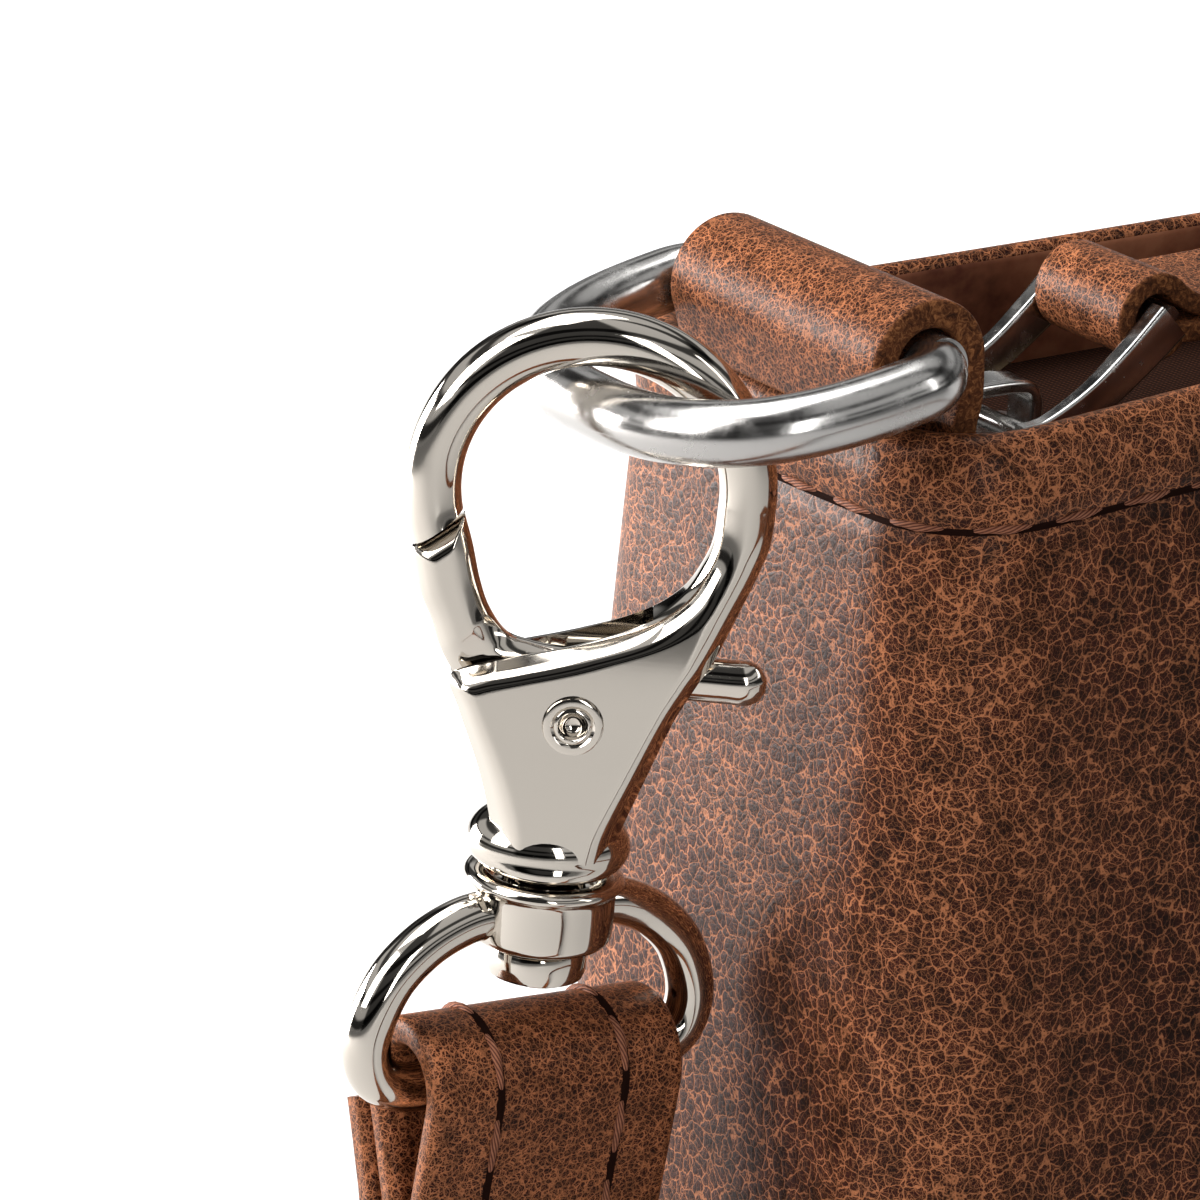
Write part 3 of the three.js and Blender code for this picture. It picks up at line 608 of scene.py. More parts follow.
def needle_holes(point, normal, way):
    """Low domes at the needle holes, dark with painted shade of the holes: three long ovals at each point,
    smaller as they rise.
    """
    side = unit(np.cross(way, normal))
    a = round_steps(10)
    r = 1.3 * THREAD * np.array([1.0, 0.8, 0.35])
    h = np.array([-0.35, 0.01, 0.04])
    ring = way[:, None] * 1.9 * np.cos(a)[:, None] + side[:, None] * np.sin(a)[:, None]
    grid = point[:, None, None] + ring[:, None] * r[:, None, None] + normal[:, None, None] * h[:, None, None]
    # Finish 1 is the dark colour of painted shade in the holes.
    return [skin(g, finish=1) for g in grid]


def painted_groove_shadow(line, normal, depth, closed):
    """Painted shadow of the groove that the tight thread presses into the leather: a narrow dark strip beside
    the line, whose height follows the groove, depth times one minus a bell curve, with both edges sunk."""
    side = unit(np.cross(along(line, closed), normal))
    w = np.linspace(-0.3, 0.46, 9)
    lift = 0.03 + depth * (1 - np.exp(-((w / GROOVE_WIDTH) ** 2)))
    lift[[0, -1]] -= 0.3
    return skin(sweep(line, side, normal, np.c_[w, lift]), round_u=closed, finish=1)


def seam(line, normal, depth=0.0, closed=False):
    """Stitches at an even pitch along a line, each following it, with a dark dome of painted hole shade
    between each two and a strip of painted groove shadow beside them."""
    loop = np.vstack([line, line[:1]]) if closed else line
    lay = np.vstack([normal, normal[:1]]) if closed else normal
    run = run_length(loop)
    count = int(round(run[-1] / STITCH_PITCH))
    step = np.arange(count) * run[-1] / count

    def laid(at):
        """Points, normals and tangents of the line at distances along it."""
        at = at % run[-1] if closed else np.clip(at, 0.3, run[-1] - 0.3)
        read = lambda v, d: np.stack([np.interp((at + d) % run[-1], run, v[:, k]) for k in range(3)], axis=-1)
        return read(loop, 0), unit(read(lay, 0)), unit(read(loop, 0.2) - read(loop, -0.2))

    middles = step[:, None] + run[-1] / count / 2 + np.linspace(-1, 1, 17) * STITCH_LENGTH / 2
    # Dark strip of painted shadow beside the stitches, where the thread's groove would be shaded.
    groove_shadow_strip = painted_groove_shadow(line, normal, depth, closed)
    return [groove_shadow_strip] + stitches(*laid(middles)) + needle_holes(*laid(step))


print("stitches of", STITCH_LENGTH, "mm, one every", STITCH_PITCH, "mm")

# %% [markdown]
# The hem's seam runs all round the mouth, a little below the rim. It follows the row of the wall's own
# points that lies in the groove, so the thread sits on the leather on every side.

# %% Rim stitches
seam_row = int(np.argmin(np.abs(hem - SEAM_DROP)))
rim_seam = seam(outside[seam_row], outward(outside[seam_row]), GROOVE_DEPTH, closed=True)
piece("rim_stitches", rim_seam, [thread, painted_stitch_shade], "case")

# %% [markdown]
# Straps, tabs and pulls are strips of leather with raw edges. One helper carries a rounded rectangle
# along a path. The section's sides are marked as cut, so that the leather finish shows fibres there.

# %% Leather strips
def strip_section(width, thick, soft, across=14):
    """Rounded rectangle as pairs of across and through, and a mark of one on its cut sides."""
    q = np.linspace(0, np.pi / 2, 5)
    bends = [np.c_[np.cos(q + k * np.pi / 2), np.sin(q + k * np.pi / 2)] * soft for k in range(4)]
    w, t = width / 2 - soft, thick / 2 - soft
    fill = np.linspace(w, -w, across)[1:-1]
    top = np.c_[fill, np.full(len(fill), thick / 2)]
    centres = [(w, t), (-w, t), (-w, -t), (w, -t)]
    bends = [bend + centre for bend, centre in zip(bends, centres)]
    section = np.vstack([bends[0], top, bends[1], bends[2], -top, bends[3]])
    return section, np.clip((np.abs(section[:, 0]) - width / 2 + 0.30) / 0.18, 0, 1)


def strip(path, across, width, thick, soft=0.45, grow=1.0, raw=1.0):
    """Strip with rounded edges: its section carried along a path, and scaled at each step where grow is a
    row. Raw says how far the cut edges show their fibres."""
    section, cut = strip_section(width, thick, soft)
    way = along(path)
    wide = np.broadcast_to(np.asarray(across, float), path.shape)
    wide = unit(wide - way * np.sum(wide * way, axis=1, keepdims=True))
    through = np.cross(way, wide)
    rubbed = 0.45 * np.clip((np.abs(section[:, 0]) - width / 2 + 2.2) / 2.2, 0, 1)
    scaled = section * np.broadcast_to(grow, len(path))[:, None, None]
    ends = np.zeros((len(path), 1))
    ends[[0, -1]] = 1
    flow = np.stack(np.broadcast_arrays(run_length(path)[:, None], section[None, :, 0]), axis=-1)
    grid, fibres = sweep(path, wide, through, scaled), raw * np.maximum(cut[None], ends)
    return skin(grid, flow=flow, cut=fibres, wear=rubbed)


print("strip helpers ready")

# %% [markdown]
# At each end of the case a tab of leather rises at the rim, rolls over the ring's bar and goes down inside
# the wall. It is a strip along one line: more than half a round about the bar, and a straight below it.

# %% Leather tabs
BAR = np.array([-116.5, -3.9, 162.3])
ROLL = 3.55
roll_turn = np.radians(np.linspace(204, -8, 12))
roll_arc = np.c_[BAR[0] + ROLL * np.cos(roll_turn), BAR[2] + ROLL * np.sin(roll_turn)]
tab_knots = [[BAR[0] - 0.72 * ROLL, 158.0], *roll_arc, [-113.05, BAR[2] - 0.8 * ROLL]]
tab_line = spline([*tab_knots, [-113.7, BAR[2] - 1.7 * ROLL], [-113.7, 149.8]], 90)
tab_path = upright(tab_line, BAR[1])
tab_strip = strip(tab_path, (0, 1, 0), 25.2, 2.0, soft=0.35)
for side, mirror in SIDES.items():
    roll = moved(tab_strip, mirror=mirror)
    piece(f"tab_roll_{side}", [roll], [strap_leather], "case", [f"tab_{side}"])

# %% [markdown]
# The ring is round wire bent to a letter D: a straight bar inside the leather, two tight corners and a
# bow. The bow is a superellipse, which is squarer than an ellipse, as bent wire is.

# %% Rings
def ring_line(count):
    """Closed centre line of the ring: a bar, round corners and a superellipse bow."""
    corner, reach, half, power = 3.2, 15.4, 15.2, 2 / 2.6
    q = np.linspace(0, np.pi / 2, 8)
    a = np.linspace(0, np.pi, 60)[1:-1]
    bow = np.c_[-corner - reach * np.sin(a) ** power, half * np.sign(np.cos(a)) * np.abs(np.cos(a)) ** power]
    bend = np.c_[-corner + corner * np.cos(q), half - corner + corner * np.sin(q)]
    return np.c_[spline(np.vstack([bend, bow, (bend * (1, -1))[::-1]]), count, closed=True), np.zeros(count)]


WIRE, RING_TILT = 2.25, -9.35
ring_path = ring_line(220)
ring_up = np.tile([0.0, 0.0, 1.0], (len(ring_path), 1))
ring_across = np.cross(ring_up, along(ring_path, closed=True))
ring_skin = skin(sweep(ring_path, ring_across, ring_up, circle(WIRE, 40)), round_u=True)
for side, mirror in SIDES.items():
    wire_ring = moved(ring_skin, rot("y", RING_TILT), BAR, mirror)
    piece(f"wire_ring_{side}", [wire_ring], [worn_nickel], "case", [f"d_ring_{side}"])

# %% [markdown]
# The hook is one casting. Its loop, its limb and its flat body could be three shapes joined by a Boolean,
# but the joints would show. Here they are a single skin: at every step along the hook a line crosses it
# from the inner edge to the outer edge, and the thickness there depends on the height and on the distance
# to the nearest edge. The loop swells to a round wire, and the body is a flat plate with bevelled edges.

# %% Plates between two edges
def edge_distance(points, line):
    """Distance of each point to a line of segments: the least over segments of the distance to each."""
    a, d = line[:-1], np.diff(line, axis=0)
    rel = points[:, None] - a
    t = np.clip(np.sum(rel * d, axis=-1) / np.maximum(np.sum(d * d, axis=-1), 1e-9), 0, 1)
    return np.linalg.norm(rel - t[..., None] * d, axis=-1).min(axis=1)


def between(left, right, count):
    """Grid of points on the straight lines from one edge to the other, closer together near the edges."""
    t = (1 - np.cos(np.linspace(0, np.pi, count)))[:, None] / 2
    return left[:, None] * (1 - t) + right[:, None] * t


def swollen(left, right, half, edge, rim, bevel, count=44, ends=()):
    """Plate between two edge lines. Its half thickness rises from the edge's over the rim's width, by the
    distance to the nearest edge: as a quarter ellipse where bevel is 0, and as a straight slope with an
    eased top where it is 1. The rows named in ends count as edges too."""
    flat = between(left, right, count)
    edges = [left, right, *(np.stack([left[k], right[k]]) for k in ends)]
    far = np.min([edge_distance(flat.reshape(-1, 2), line) for line in edges], axis=0)
    as_rows = lambda v: v if np.ndim(v) == 2 else np.reshape(v, (-1, 1))
    half, edge, bevel = as_rows(half), as_rows(edge), as_rows(bevel)
    way = far.reshape(len(left), count) / as_rows(rim)
    ellipse = np.sqrt(1 - (1 - np.clip(way, 0, 1)) ** 2)
    slope = np.where(way < 0.5, way, 1 - (1.5 - np.minimum(way, 1.5)) ** 2 / 2)
    lift = edge + (half - edge) * (ellipse * (1 - bevel) + slope * bevel)
    front = np.stack([flat[..., 0], -lift, flat[..., 1]], axis=-1)
    return skin(np.concatenate([front, (front * (1, -1, 1))[:, ::-1]], axis=1))


print("plate helpers ready")

# %% [markdown]
# The hook's two edges are drawn as pairs of knots, from the nose of the loop round to the foot of the
# body. Half the thickness is read from a curve on the height, and a dent is left for the rivet's hollow.
# From the limb on, the round profile gives way to the bevelled one by a smooth step along the rows.

# %% Hook casting
HOOK_AT = np.array([-138.1, -2.2, 124.1])
HOOK_TURN = rot("z", -32) @ rot("y", 5.5)
LOOP_AT = np.array([0.5, 29.7])
RIVET_AT = np.array([0.8, 0.0, 14.0])
LOOP_STEPS, LIMB_STEPS, CROSS_STEPS, SLOT_HALF = 60, 150, 60, 1.5
inner_turn, outer_turn = (np.radians(np.linspace(nose, 4, LOOP_STEPS)) for nose in (194.2, 202.6))
inner_knots = [
    [9.1, 29.7], [9.0, 27.0], [8.4, 25.0], [7.2, 22.9], [4.8, 20.9], [0.9, 19.2], [-3.0, 18.0],
    [-5.9, 17.15], [-7.7, 16.1], [-6.9, 13.9], [-5.2, 9.8], [-4.1, 6.2], [-3.9, 4.4],
]
outer_knots = [
    [13.0, 29.7], [12.9, 27.0], [12.35, 25.0], [11.4, 22.5], [10.3, 19.8], [9.5, 18.2], [8.9, 17.1],
    [8.45, 16.2], [8.1, 15.5], [7.4, 13.9], [6.0, 9.8], [4.8, 6.2], [4.5, 4.4],
]
limb = spline(np.hstack([inner_knots, outer_knots]), LIMB_STEPS)
inner_edge = np.vstack([LOOP_AT + 8.6 * np.c_[np.cos(inner_turn), np.sin(inner_turn)], limb[:, :2]])
outer_edge = np.vstack([LOOP_AT + 12.5 * np.c_[np.cos(outer_turn), np.sin(outer_turn)], limb[:, 2:]])
body_spots = between(inner_edge, outer_edge, CROSS_STEPS)
half_knots = [[4.4, 4.3], [12, 3.76], [18, 3.33], [22, 2.85], [26, 2.25], [30, 2.0], [34, 1.95], [50, 1.95]]
half_at = np.interp(body_spots[..., 1], *spline(half_knots, 120).T)
rivet_far = np.linalg.norm(body_spots - RIVET_AT[[0, 2]], axis=-1)
half_at -= 1.1 * np.clip((1.35 - rivet_far) / 0.3, 0, 1)
row = np.arange(LOOP_STEPS + LIMB_STEPS)
plate_part = np.clip((row - 72) / 56, 0, 1)
plate_part *= plate_part * (3 - 2 * plate_part)
edge_at = 0.08 + 1.82 * plate_part
rim_at = 1.95 - 0.95 * plate_part + np.interp(row, [160, 209], [0.0, 0.5])
casting = swollen(inner_edge, outer_edge, half_at, edge_at, rim_at, plate_part, CROSS_STEPS)
print("casting of", len(row), "rows")

# %% [markdown]
# A turned collar with a stem stands under the flat body, and a slot for the gate is cut through the body
# with a Boolean. The Boolean is applied at once, so that the finished mesh has no live modifier.

# %% Hook bodies
def hung(turn, mirror, *skins):
    """Skins turned with the hook, or with the eye below it, and put in its place."""
    return [moved(s, turn, HOOK_AT, mirror) for s in skins]


def carved(made, tool):
    """Piece with a second piece cut out of it by a Boolean that is applied at once."""
    cut = made.modifiers.new("slot", "BOOLEAN")
    cut.object, cut.operation, cut.solver = tool, "DIFFERENCE", "MANIFOLD"
    whole = made.data
    made.data = bpy.data.meshes.new_from_object(made.evaluated_get(bpy.context.evaluated_depsgraph_get()))
    made.modifiers.clear()
    made.data.name = made.name
    made.data.set_sharp_from_angle(angle=math.radians(CREASE))
    for spare in (tool.data, whole):
        bpy.data.meshes.remove(spare)


dome = spline([
    [0.05, 6.9], [3.4, 6.7], [4.6, 6.2], [5.4, 5.3], [5.65, 4.3], [5.4, 3.5], [4.8, 2.9], [3.9, 2.65],
    [2.3, 2.6],
], 48)
stem = [
    [2.2, 2.5], [2.2, -2.6], [2.25, -2.95], [3.0, -2.98], [3.35, -3.2], [3.45, -3.6], [3.45, -4.7],
    [3.3, -5.15], [2.8, -5.4], [1.2, -5.48], [0.05, -5.5],
]
collar = turned(np.vstack([dome, stem]))
collar["points"][:, 1] *= np.interp(collar["points"][:, 2], [2.6, 4.0], [1.0, 0.82])
slot_low = spline([[-10, 11.2], [-2.6, 10.2], [2, 9.2], [14, 9.2]], 30)
slot_top = spline([[-10, 23], [4.6, 23], [5.6, 19.3], [14, 19.3]], 30)
slot_rim = np.stack([slot_low, slot_top], axis=1)[:, [0, 0, 1, 1]]
slot_deep = np.broadcast_to(np.array([-1, 1, 1, -1]) * SLOT_HALF, (30, 4))
slot_skin = skin(np.stack([slot_rim[..., 0], slot_deep, slot_rim[..., 1]], axis=-1))
for side, mirror in SIDES.items():
    body = f"hook_{side}"
    whole, tool, foot = hung(HOOK_TURN, mirror, casting, slot_skin, collar)
    hook = piece(f"hook_casting_{side}", [whole], [nickel], body, [f"hook_body_{side}"])
    carved(hook, piece(f"slot_{side}", [tool], [nickel], body))
    piece(f"hook_collar_{side}", [foot], [nickel], body)

# %% [markdown]
# The gate is a flat lever that turns on a rivet through the body's slot. Its arm closes the loop, and
# its short tail sticks out on the other side as a trigger. It is a plate between two edges, as the hook
# is, with a narrow bevel all round. The rivet is turned, and its hollow sits in a dent of the body's face.

# %% Gates and rivets
gate_outer = [
    [-11.0, 24.5], [-10.2, 21.5], [-9.3, 19.6], [-8.5, 17.6], [-7.3, 15.8], [-5.2, 13.7], [-2.4, 11.7],
    [0.8, 10.7], [3.0, 11.7], [4.4, 13.8], [5.3, 15.35], [8.0, 15.4], [11.0, 15.4], [12.3, 15.4],
    [13.1, 15.75], [13.6, 16.5],
]
gate_inner = [
    [-7.7, 27.2], [-7.0, 25.2], [-6.25, 22.6], [-5.4, 20.6], [-4.1, 19.0], [-2.4, 18.5], [-0.8, 18.3],
    [0.8, 18.3], [2.4, 18.35], [3.8, 18.4], [5.3, 18.4], [8.0, 18.4], [11.0, 18.4], [12.3, 18.4],
    [13.1, 18.05], [13.6, 17.3],
]
gate_lines = spline(np.hstack([gate_outer, gate_inner]), 200)
GATE_THIN, GATE_THICK = 1.2, 1.7
gate_half = np.interp(gate_lines[:, 0] + gate_lines[:, 1], [8.5, 9.1], [GATE_THIN, GATE_THICK])
gate_half[100:] = GATE_THIN
gate_plate = swollen(gate_lines[:, :2], gate_lines[:, 2:], gate_half, 0.35, 1.05, 0.75, 40, ends=(0, -1))
head = np.array([
    [1.35, 3.32], [2.08, 3.37], [2.1, 3.57], [2.0, 3.8], [1.85, 3.86], [1.5, 3.84], [1.38, 3.72], [1.3, 3.68],
    [1.2, 3.78], [1.05, 3.8], [0.94, 3.7], [0.82, 3.42], [0.6, 3.07], [0.3, 2.94], [0.05, 2.92],
])
rivet_profile = np.vstack([head[::-1] * (1, -1), head])
rivet = moved(turned(rivet_profile, 72), rot("x", 90), RIVET_AT)
for side, mirror in SIDES.items():
    gate, pin = hung(HOOK_TURN, mirror, gate_plate, rivet)
    piece(f"gate_{side}", [gate], [nickel], f"gate_{side}", [f"hook_gate_{side}"])
    piece(f"rivet_{side}", [pin], [nickel], f"hook_{side}", [f"hook_rivet_{side}"])

# %% [markdown]
# Below the collar a barrel turns freely on the hook's stem, and a wide eye of round wire is joined to it.
# The barrel is a profile turned about its axis, as on a lathe. The eye is a tube along a spline, which
# gives its shoulders and its flat lower bar in one smooth bend.

# %% Swivel eyes
EYE_TURN = HOOK_TURN @ rot("z", 32)
EYE_DROP, EYE_WIRE = 12.6, 1.7
barrel = turned(spline([
    [2.9, -2.6], [4.4, -2.6], [4.85, -2.3], [5.0, -1.8], [5.0, 0.8], [5.1, 1.3], [5.5, 1.65], [5.5, 2.0],
    [5.1, 2.32], [4.3, 2.36], [3.95, 2.1], [3.75, 1.4], [2.9, 1.2],
], 60), wrap=True)
eye_knots = np.array([
    [3.4, -0.5], [6.2, -0.8], [9.2, -2.2], [11.7, -4.7], [13.0, -8.2], [12.4, -11.0], [10.2, -12.4],
    [7.0, -EYE_DROP],
])
eye_path = upright(spline(np.vstack([eye_knots, [[0.0, -EYE_DROP]], (eye_knots * (-1, 1))[::-1]]), 180))
eye_up = np.tile([0.0, 1.0, 0.0], (180, 1))
eye_wire = skin(sweep(eye_path, np.cross(eye_up, along(eye_path)), eye_up, circle(EYE_WIRE, 32)))
for side, mirror in SIDES.items():
    parts = hung(EYE_TURN, mirror, barrel, eye_wire)
    piece(f"eye_{side}", parts, [nickel], "case", [f"swivel_eye_{side}"])

# %% [markdown]
# The strap's end goes through the eye and is folded back and sewn. A cloth simulation could bend it, but
# leather this thick keeps one clear curve: a half round over the wire, and two layers that lie together
# below. So a strip is carried along that curve, and two rows of stitches follow its outer face.

# %% Strap ends
STRAP_WIDTH, FOLD_THICK, FOLD_ROUND, FOLD_STEPS = 20.0, 2.0, 4.0, 150
SEWN = slice(4, 82)
fold_turn = np.radians(np.linspace(190, -10, 14))
fold_arc = np.c_[FOLD_ROUND * np.cos(fold_turn), FOLD_ROUND * np.sin(fold_turn) - EYE_DROP]
fold_front = [[-2.3, -46], [-2.3, -36], [-2.3, -28], [-2.9, -22]]
fold_back = [[1.4, -19], [0, -23.5], [0, -34], [0, -46]]
fold_path = np.insert(spline([*fold_front, *fold_arc, *fold_back], FOLD_STEPS), 0, 0.0, axis=1)
fold = strip(fold_path, (1, 0, 0), STRAP_WIDTH, FOLD_THICK, soft=0.75, raw=0.3)
fold_out = np.cross(along(fold_path), (1.0, 0, 0))[SEWN]
fold_out *= np.sign(-fold_out[0, 1])
fold_face = fold_path[SEWN] + fold_out * FOLD_THICK / 2
fold_seams = [s for x in (-5.0, 5.0) for s in seam(fold_face + (x, 0, 0), fold_out)]
for side, mirror in SIDES.items():
    leather, *sewing = hung(EYE_TURN, mirror, fold, *fold_seams)
    piece(f"strap_fold_{side}", [leather], [strap_leather], "case", [f"strap_end_{side}"])
    piece(f"fold_stitches_{side}", sewing, [thread, painted_stitch_shade], "case")

# %% [markdown]
# The strap is one length of leather from eye to eye. It drops beside the case, bends onto the floor,
# turns onto its edge and goes round in a wide loop in front, which is how a strap lies when it is set
# down. Its width turns from level to upright with a smooth step along the floor.

# %% Strap
STRAP_THICK, STRAP_STEPS, BEND_ROUND, LOOP_START = 2.2, 700, 24, -212.0


def floor_twist(y):
    """Turn of the strap's width by the distance in front: a smooth step from flat at 75 to upright at 200."""
    t = np.clip((-y - 75) / 125, 0, 1)
    return np.pi / 2 * t * t * (3 - 2 * t)


drop = np.array([[5.85, -15.6], [4.3, -19.2], [2.9, -23.2], [2.5, -29], [2.5, -62.5], [2.5, -96]])
drop = np.insert(drop, 0, 0.0, axis=1) @ EYE_TURN.T + HOOK_AT
foot = drop[-1]
bend = np.radians([30, 60, 90])[:, None]
bend_y, bend_z = foot[1] - BEND_ROUND * (1 - np.cos(bend)), BEND_ROUND * (1 - np.sin(bend)) + STRAP_THICK / 2
floor_bend = np.hstack([0 * bend + foot[0], bend_y, bend_z])
run_y = np.array([-45, -75, -116.25, -158.75, -200, LOOP_START])
floor_run = np.c_[np.full(6, foot[0]), run_y, np.zeros(6)]
round_turn = np.radians(np.linspace(180, 270, 9))[1:]
floor_round = np.c_[-foot[0] * np.cos(round_turn), LOOP_START - foot[0] * np.sin(round_turn), np.zeros(8)]
half_strap = np.vstack([drop, floor_bend, floor_run, floor_round])
strap_path = spline(np.vstack([half_strap, (half_strap[:-1] * (-1, 1, 1))[::-1]]), STRAP_STEPS)
twist = floor_twist(strap_path[:, 1])
on_floor = strap_path[:, 1] < foot[1] - BEND_ROUND
lying = STRAP_WIDTH / 2 * np.sin(twist) + STRAP_THICK / 2 * np.cos(twist)
strap_path[:, 2] = np.where(on_floor, lying, strap_path[:, 2])
strap_end = -np.sign(np.arange(STRAP_STEPS) - (STRAP_STEPS - 1) / 2)
strap_wide = np.c_[strap_end * np.cos(twist), 0 * twist, np.sin(twist)]
strap_skin = strip(strap_path, strap_wide, STRAP_WIDTH, STRAP_THICK, soft=0.75, raw=0.3)
piece("shoulder_strap", [strap_skin], [strap_leather], "case", ["strap"])
print("strap length mm:", round(float(run_length(strap_path)[-1])))

# %% [markdown]
# The zip closes the mouth a little below the rim. Its two tapes are woven cloth, and its teeth are small
# metal blocks that hook past each other from the two sides, half a pitch apart.

# %% Zip tapes and teeth
TAPE_TOP, TAPE_LIP, TEETH_FROM, TEETH_TO, TOOTH_PITCH = 147.9, 2.6, -96.0, 112.5, 2.6
mouth = case_outline([TAPE_TOP + 0.4], [WALL + 0.3])[0]
for name, way in (("front", -1), ("back", 1)):
    edge = mouth[mouth[:, 1] * way > TAPE_LIP]
    edge = edge[np.argsort(edge[:, 0])]
    t = np.linspace(0, 1, 12)[:, None, None]
    lip = upright(edge[:, [0, 2]], TAPE_LIP * way)
    top = edge * (1 - t) + lip * t
    top[..., 2] = TAPE_TOP
    loop = np.concatenate([top, top[::-1] - (0, 0, 1.0)], axis=0).transpose(1, 0, 2)
    piece(f"tape_{name}", [skin(loop)], [zip_cloth], "case", [f"zip_tape_{name}"])

tooth_line = np.array([[-2.6, 0.9], [-0.6, 0.9], [0.1, 0.75], [0.9, 0.95], [1.25, 0.7], [1.3, 0.3]])
tooth_half = np.array([0.9, 0.9, 0.55, 0.85, 0.7, 0.3])
tooth_y, tooth_z = np.array([[-1, -0.8, 0.8, 1, 0.8, -0.8], [0, 0.9, 0.9, 0, -0.9, -0.9]])
tooth_x = np.repeat(tooth_line[:, :1], 6, axis=1)
tooth = np.stack([tooth_half[:, None] * tooth_y, tooth_x, tooth_line[:, 1:] * tooth_z], axis=-1)
places = np.arange(TEETH_FROM + TOOTH_PITCH / 2, TEETH_TO, TOOTH_PITCH)
front_teeth = [skin(tooth + (x, 0, TAPE_TOP)) for x in places]
back_teeth = [skin(tooth * (1, -1, 1) + (x + TOOTH_PITCH / 2, 0, TAPE_TOP)) for x in places[:-1]]
piece("zip_teeth", front_teeth + back_teeth, [dark_metal], "case", ["zip_chain"])

# %% [markdown]
# The slider has two plates joined by a post, and a crown on top through which the puller hangs. Plates
# are grids whose rim is rounded over, and the crown is a strip carried along an arch.

# %% Slider
def slab(x, y, z, corner, ease):
    """Plate with round corners in plan and eased edges: its outline in four rows, drawn in at top and
    bottom. Each outline point is a corner's centre plus the corner's radius times a direction."""
    a = round_steps(64)
    turn = np.c_[np.cos(a), np.sin(a)]
    middle = np.array([sum(x), sum(y)]) / 2
    reach = np.array([x[1] - x[0], y[1] - y[0]]) / 2 - corner
    rows = [(ease, z[0]), (0, z[0] + ease), (0, z[1] - ease), (ease, z[1])]
    plan = lambda e: middle + np.sign(turn) * reach + turn * (corner - e)
    return skin(np.stack([np.insert(plan(e), 2, h, axis=1) for e, h in rows]))


crown_line = [
    [-105.9, 150.3], [-105.9, 153.1], [-104.1, 153.95], [-98.9, 153.95], [-97.1, 153.1], [-97.1, 150.3],
]
crown = strip(upright(spline(crown_line, 50)), (0, 1, 0), 3.2, 1.0, soft=0.3)
plates = [slab((-107, -96), (-4.2, 4.2), z, 2.0, 0.3) for z in ((149.55, 150.65), (145.35, 146.45))]
post = slab((-106.2, -103.0), (-1.6, 1.6), (146.0, 150.0), 0.5, 0.1)
piece("slider", [*plates, post, crown], [worn_nickel], "case", ["zip_slider"])

# %% [markdown]
# The puller is a frame of flat strip that swings on the crown: two bent arms that widen towards the
# fingers, an end bar, and a pin through the crown. Each is a strip or a tube along its own short path.

# %% Puller
PIVOT = np.array([-100.8, 0.0, 151.9])
END = np.array([11.5, 6.7])
PULLER_HALF = 6.1
arm_line = spline([[-1.0, 0], [1.4, 0.2], END * (0.45, 0.28), END * (0.75, 0.64), END], 60)
arm_grow = np.linspace(0.8, 1.2, 60)
arms = [strip(upright(arm_line, y), (0, 1, 0), 1.4, 2.6, 0.3, arm_grow) for y in (-6.2, 6.2)]
BAR_AT = END - 0.2
bar_path = np.c_[np.full(30, BAR_AT[0]), np.linspace(-PULLER_HALF, PULLER_HALF, 30), np.full(30, BAR_AT[1])]
slope = math.atan2(0.36 * END[1], 0.25 * END[0])
end_bar = strip(bar_path, (math.cos(slope), 0, math.sin(slope)), 2.4, 1.0, soft=0.3)
pivot_path = np.linspace(-PULLER_HALF, PULLER_HALF, 20)[:, None] * (0, 1, 0)
pivot_axes = np.tile([1.0, 0, 0], (20, 1)), np.tile([0, 0, 1.0], (20, 1))
pivot_pin = skin(sweep(pivot_path, *pivot_axes, circle(0.75, 20)))
frame_skins = [moved(s, shift=PIVOT) for s in (*arms, end_bar, pivot_pin)]
piece("puller_frame", frame_skins, [worn_nickel], "zip_pull", ["zip_puller"])

# %% [markdown]
# A piece of leather is folded round the frame's end bar for the fingers, and its two layers are glued. It
# is one strip: along the upper layer, round the bar, and back along the lower layer.

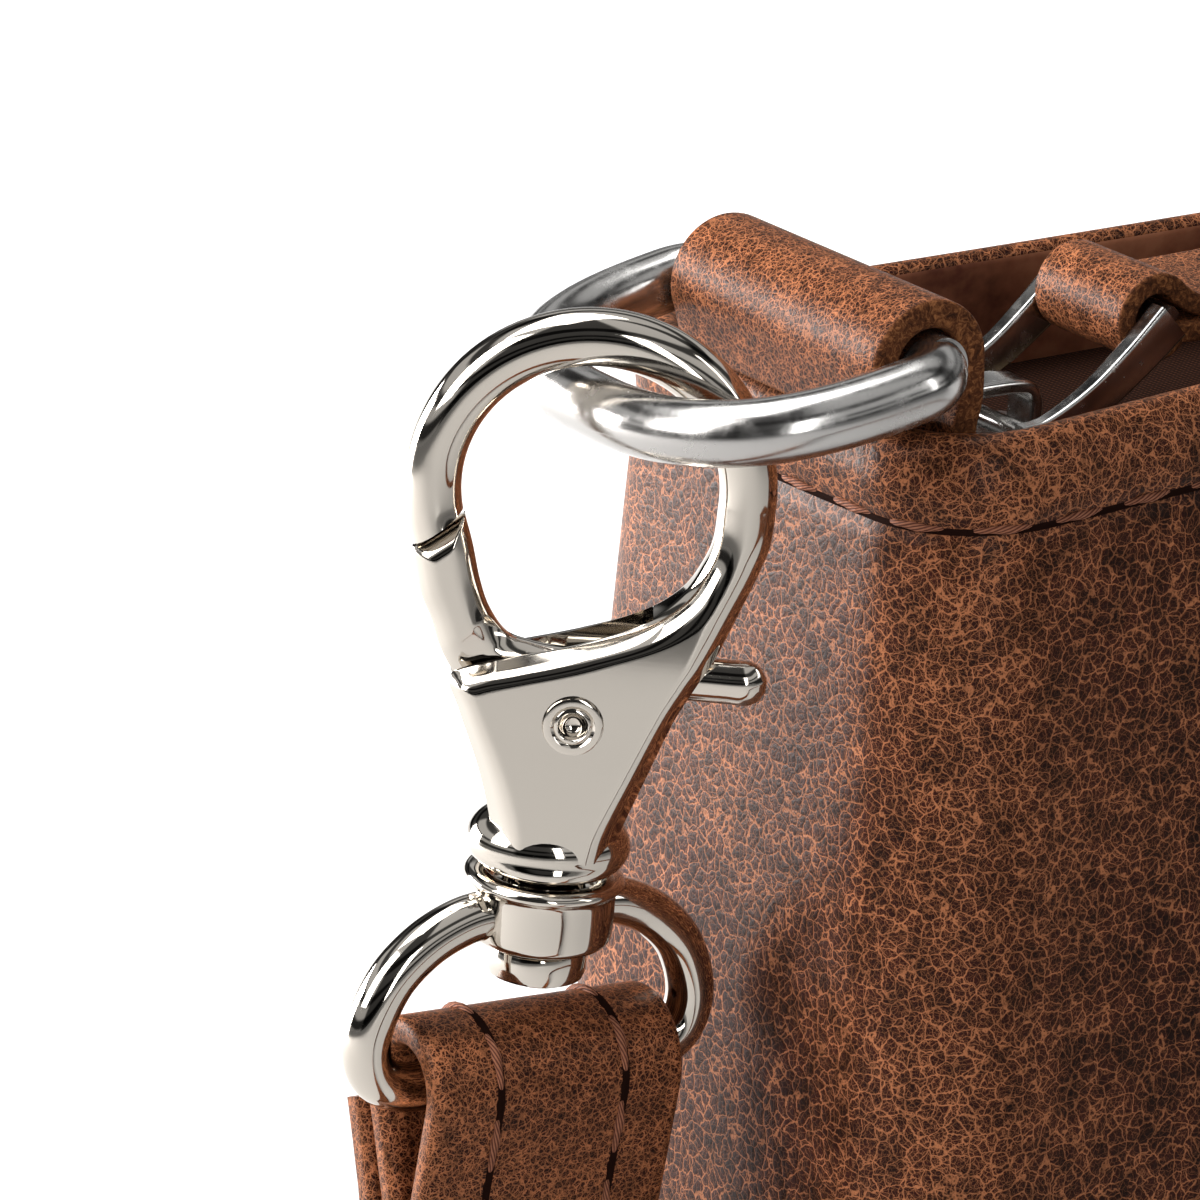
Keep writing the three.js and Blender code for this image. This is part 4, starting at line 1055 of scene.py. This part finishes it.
# %% Pull leather
LAYER, PULL_WIDTH, PULL_ROUND = 1.5, 10.4, 2.5
pull_turn = np.radians(np.linspace(35, 325, 24))
pull_arc = PULL_ROUND * np.c_[np.cos(pull_turn), np.sin(pull_turn)]
upper = [[36.2, 0.15], [26, 0.15], [15, 0.15], [6, 0.15], [3.6, 0.45]]
lower = [[3.6, -1.5], [6, -1.35], [15, -1.35], [26, -1.35], [36.2, -1.35]]
pull_line = spline(np.vstack([upper, pull_arc, lower]), 170)
pull_path = upright(pull_line) + (PIVOT + upright(BAR_AT[None])[0])
pull_strip = strip(pull_path, (0, 1, 0), PULL_WIDTH, LAYER, soft=0.3)
piece("pull_leather", [pull_strip], [strap_leather], "zip_pull", ["zip_pull_leather"])

# %% [markdown]
# The floor is one large pale plane under the case. It glows with painted light of its own, faint in front of
# the case and rising smoothly to bright behind it along the way the camera looks. The glow stands in for a
# sweep that is lit from behind.

# %% Floor
FLOOR_REACH = 6
floor_points = FLOOR_REACH * np.array([[-1, -1, 0], [1, -1, 0], [1, 1, 0], [-1, 1, 0]])
floor_mesh = bpy.data.meshes.new("floor")
floor_mesh.from_pydata(floor_points.tolist(), [], [[0, 1, 2, 3]])
floor = bpy.data.objects.new("floor", floor_mesh)
bpy.context.scene.collection.objects.link(floor)
FLOOR_GREY, FADE_WAY = 0.56, (0.53, 0.85, 0)
floor_paint, floor_tree, floor_shader = finish(
    "floor_paint", Base_Color=(FLOOR_GREY, FLOOR_GREY, FLOOR_GREY, 1), Roughness=0.8,
    Specular_IOR_Level=0.0, Emission_Color=(1, 1, 1, 1)
)
floor_place = node(floor_tree, "ShaderNodeTexCoord", out=3)
# Painted glow: emission that is faint in front of the case and bright behind it, along the way the camera
# looks.
floor_depth = node(
    floor_tree, "ShaderNodeVectorMath", out=1, set_operation="DOT_PRODUCT", i0=floor_place, i1=FADE_WAY
)
floor_glow = node(
    floor_tree, "ShaderNodeMapRange", set_interpolation_type="SMOOTHSTEP", Value=floor_depth,
    From_Min=-0.2, From_Max=0.4, To_Min=0.0, To_Max=0.85
)
floor_tree.links.new(floor_glow, floor_shader.inputs["Emission Strength"])
floor_mesh.materials.append(floor_paint)
print("floor laid")
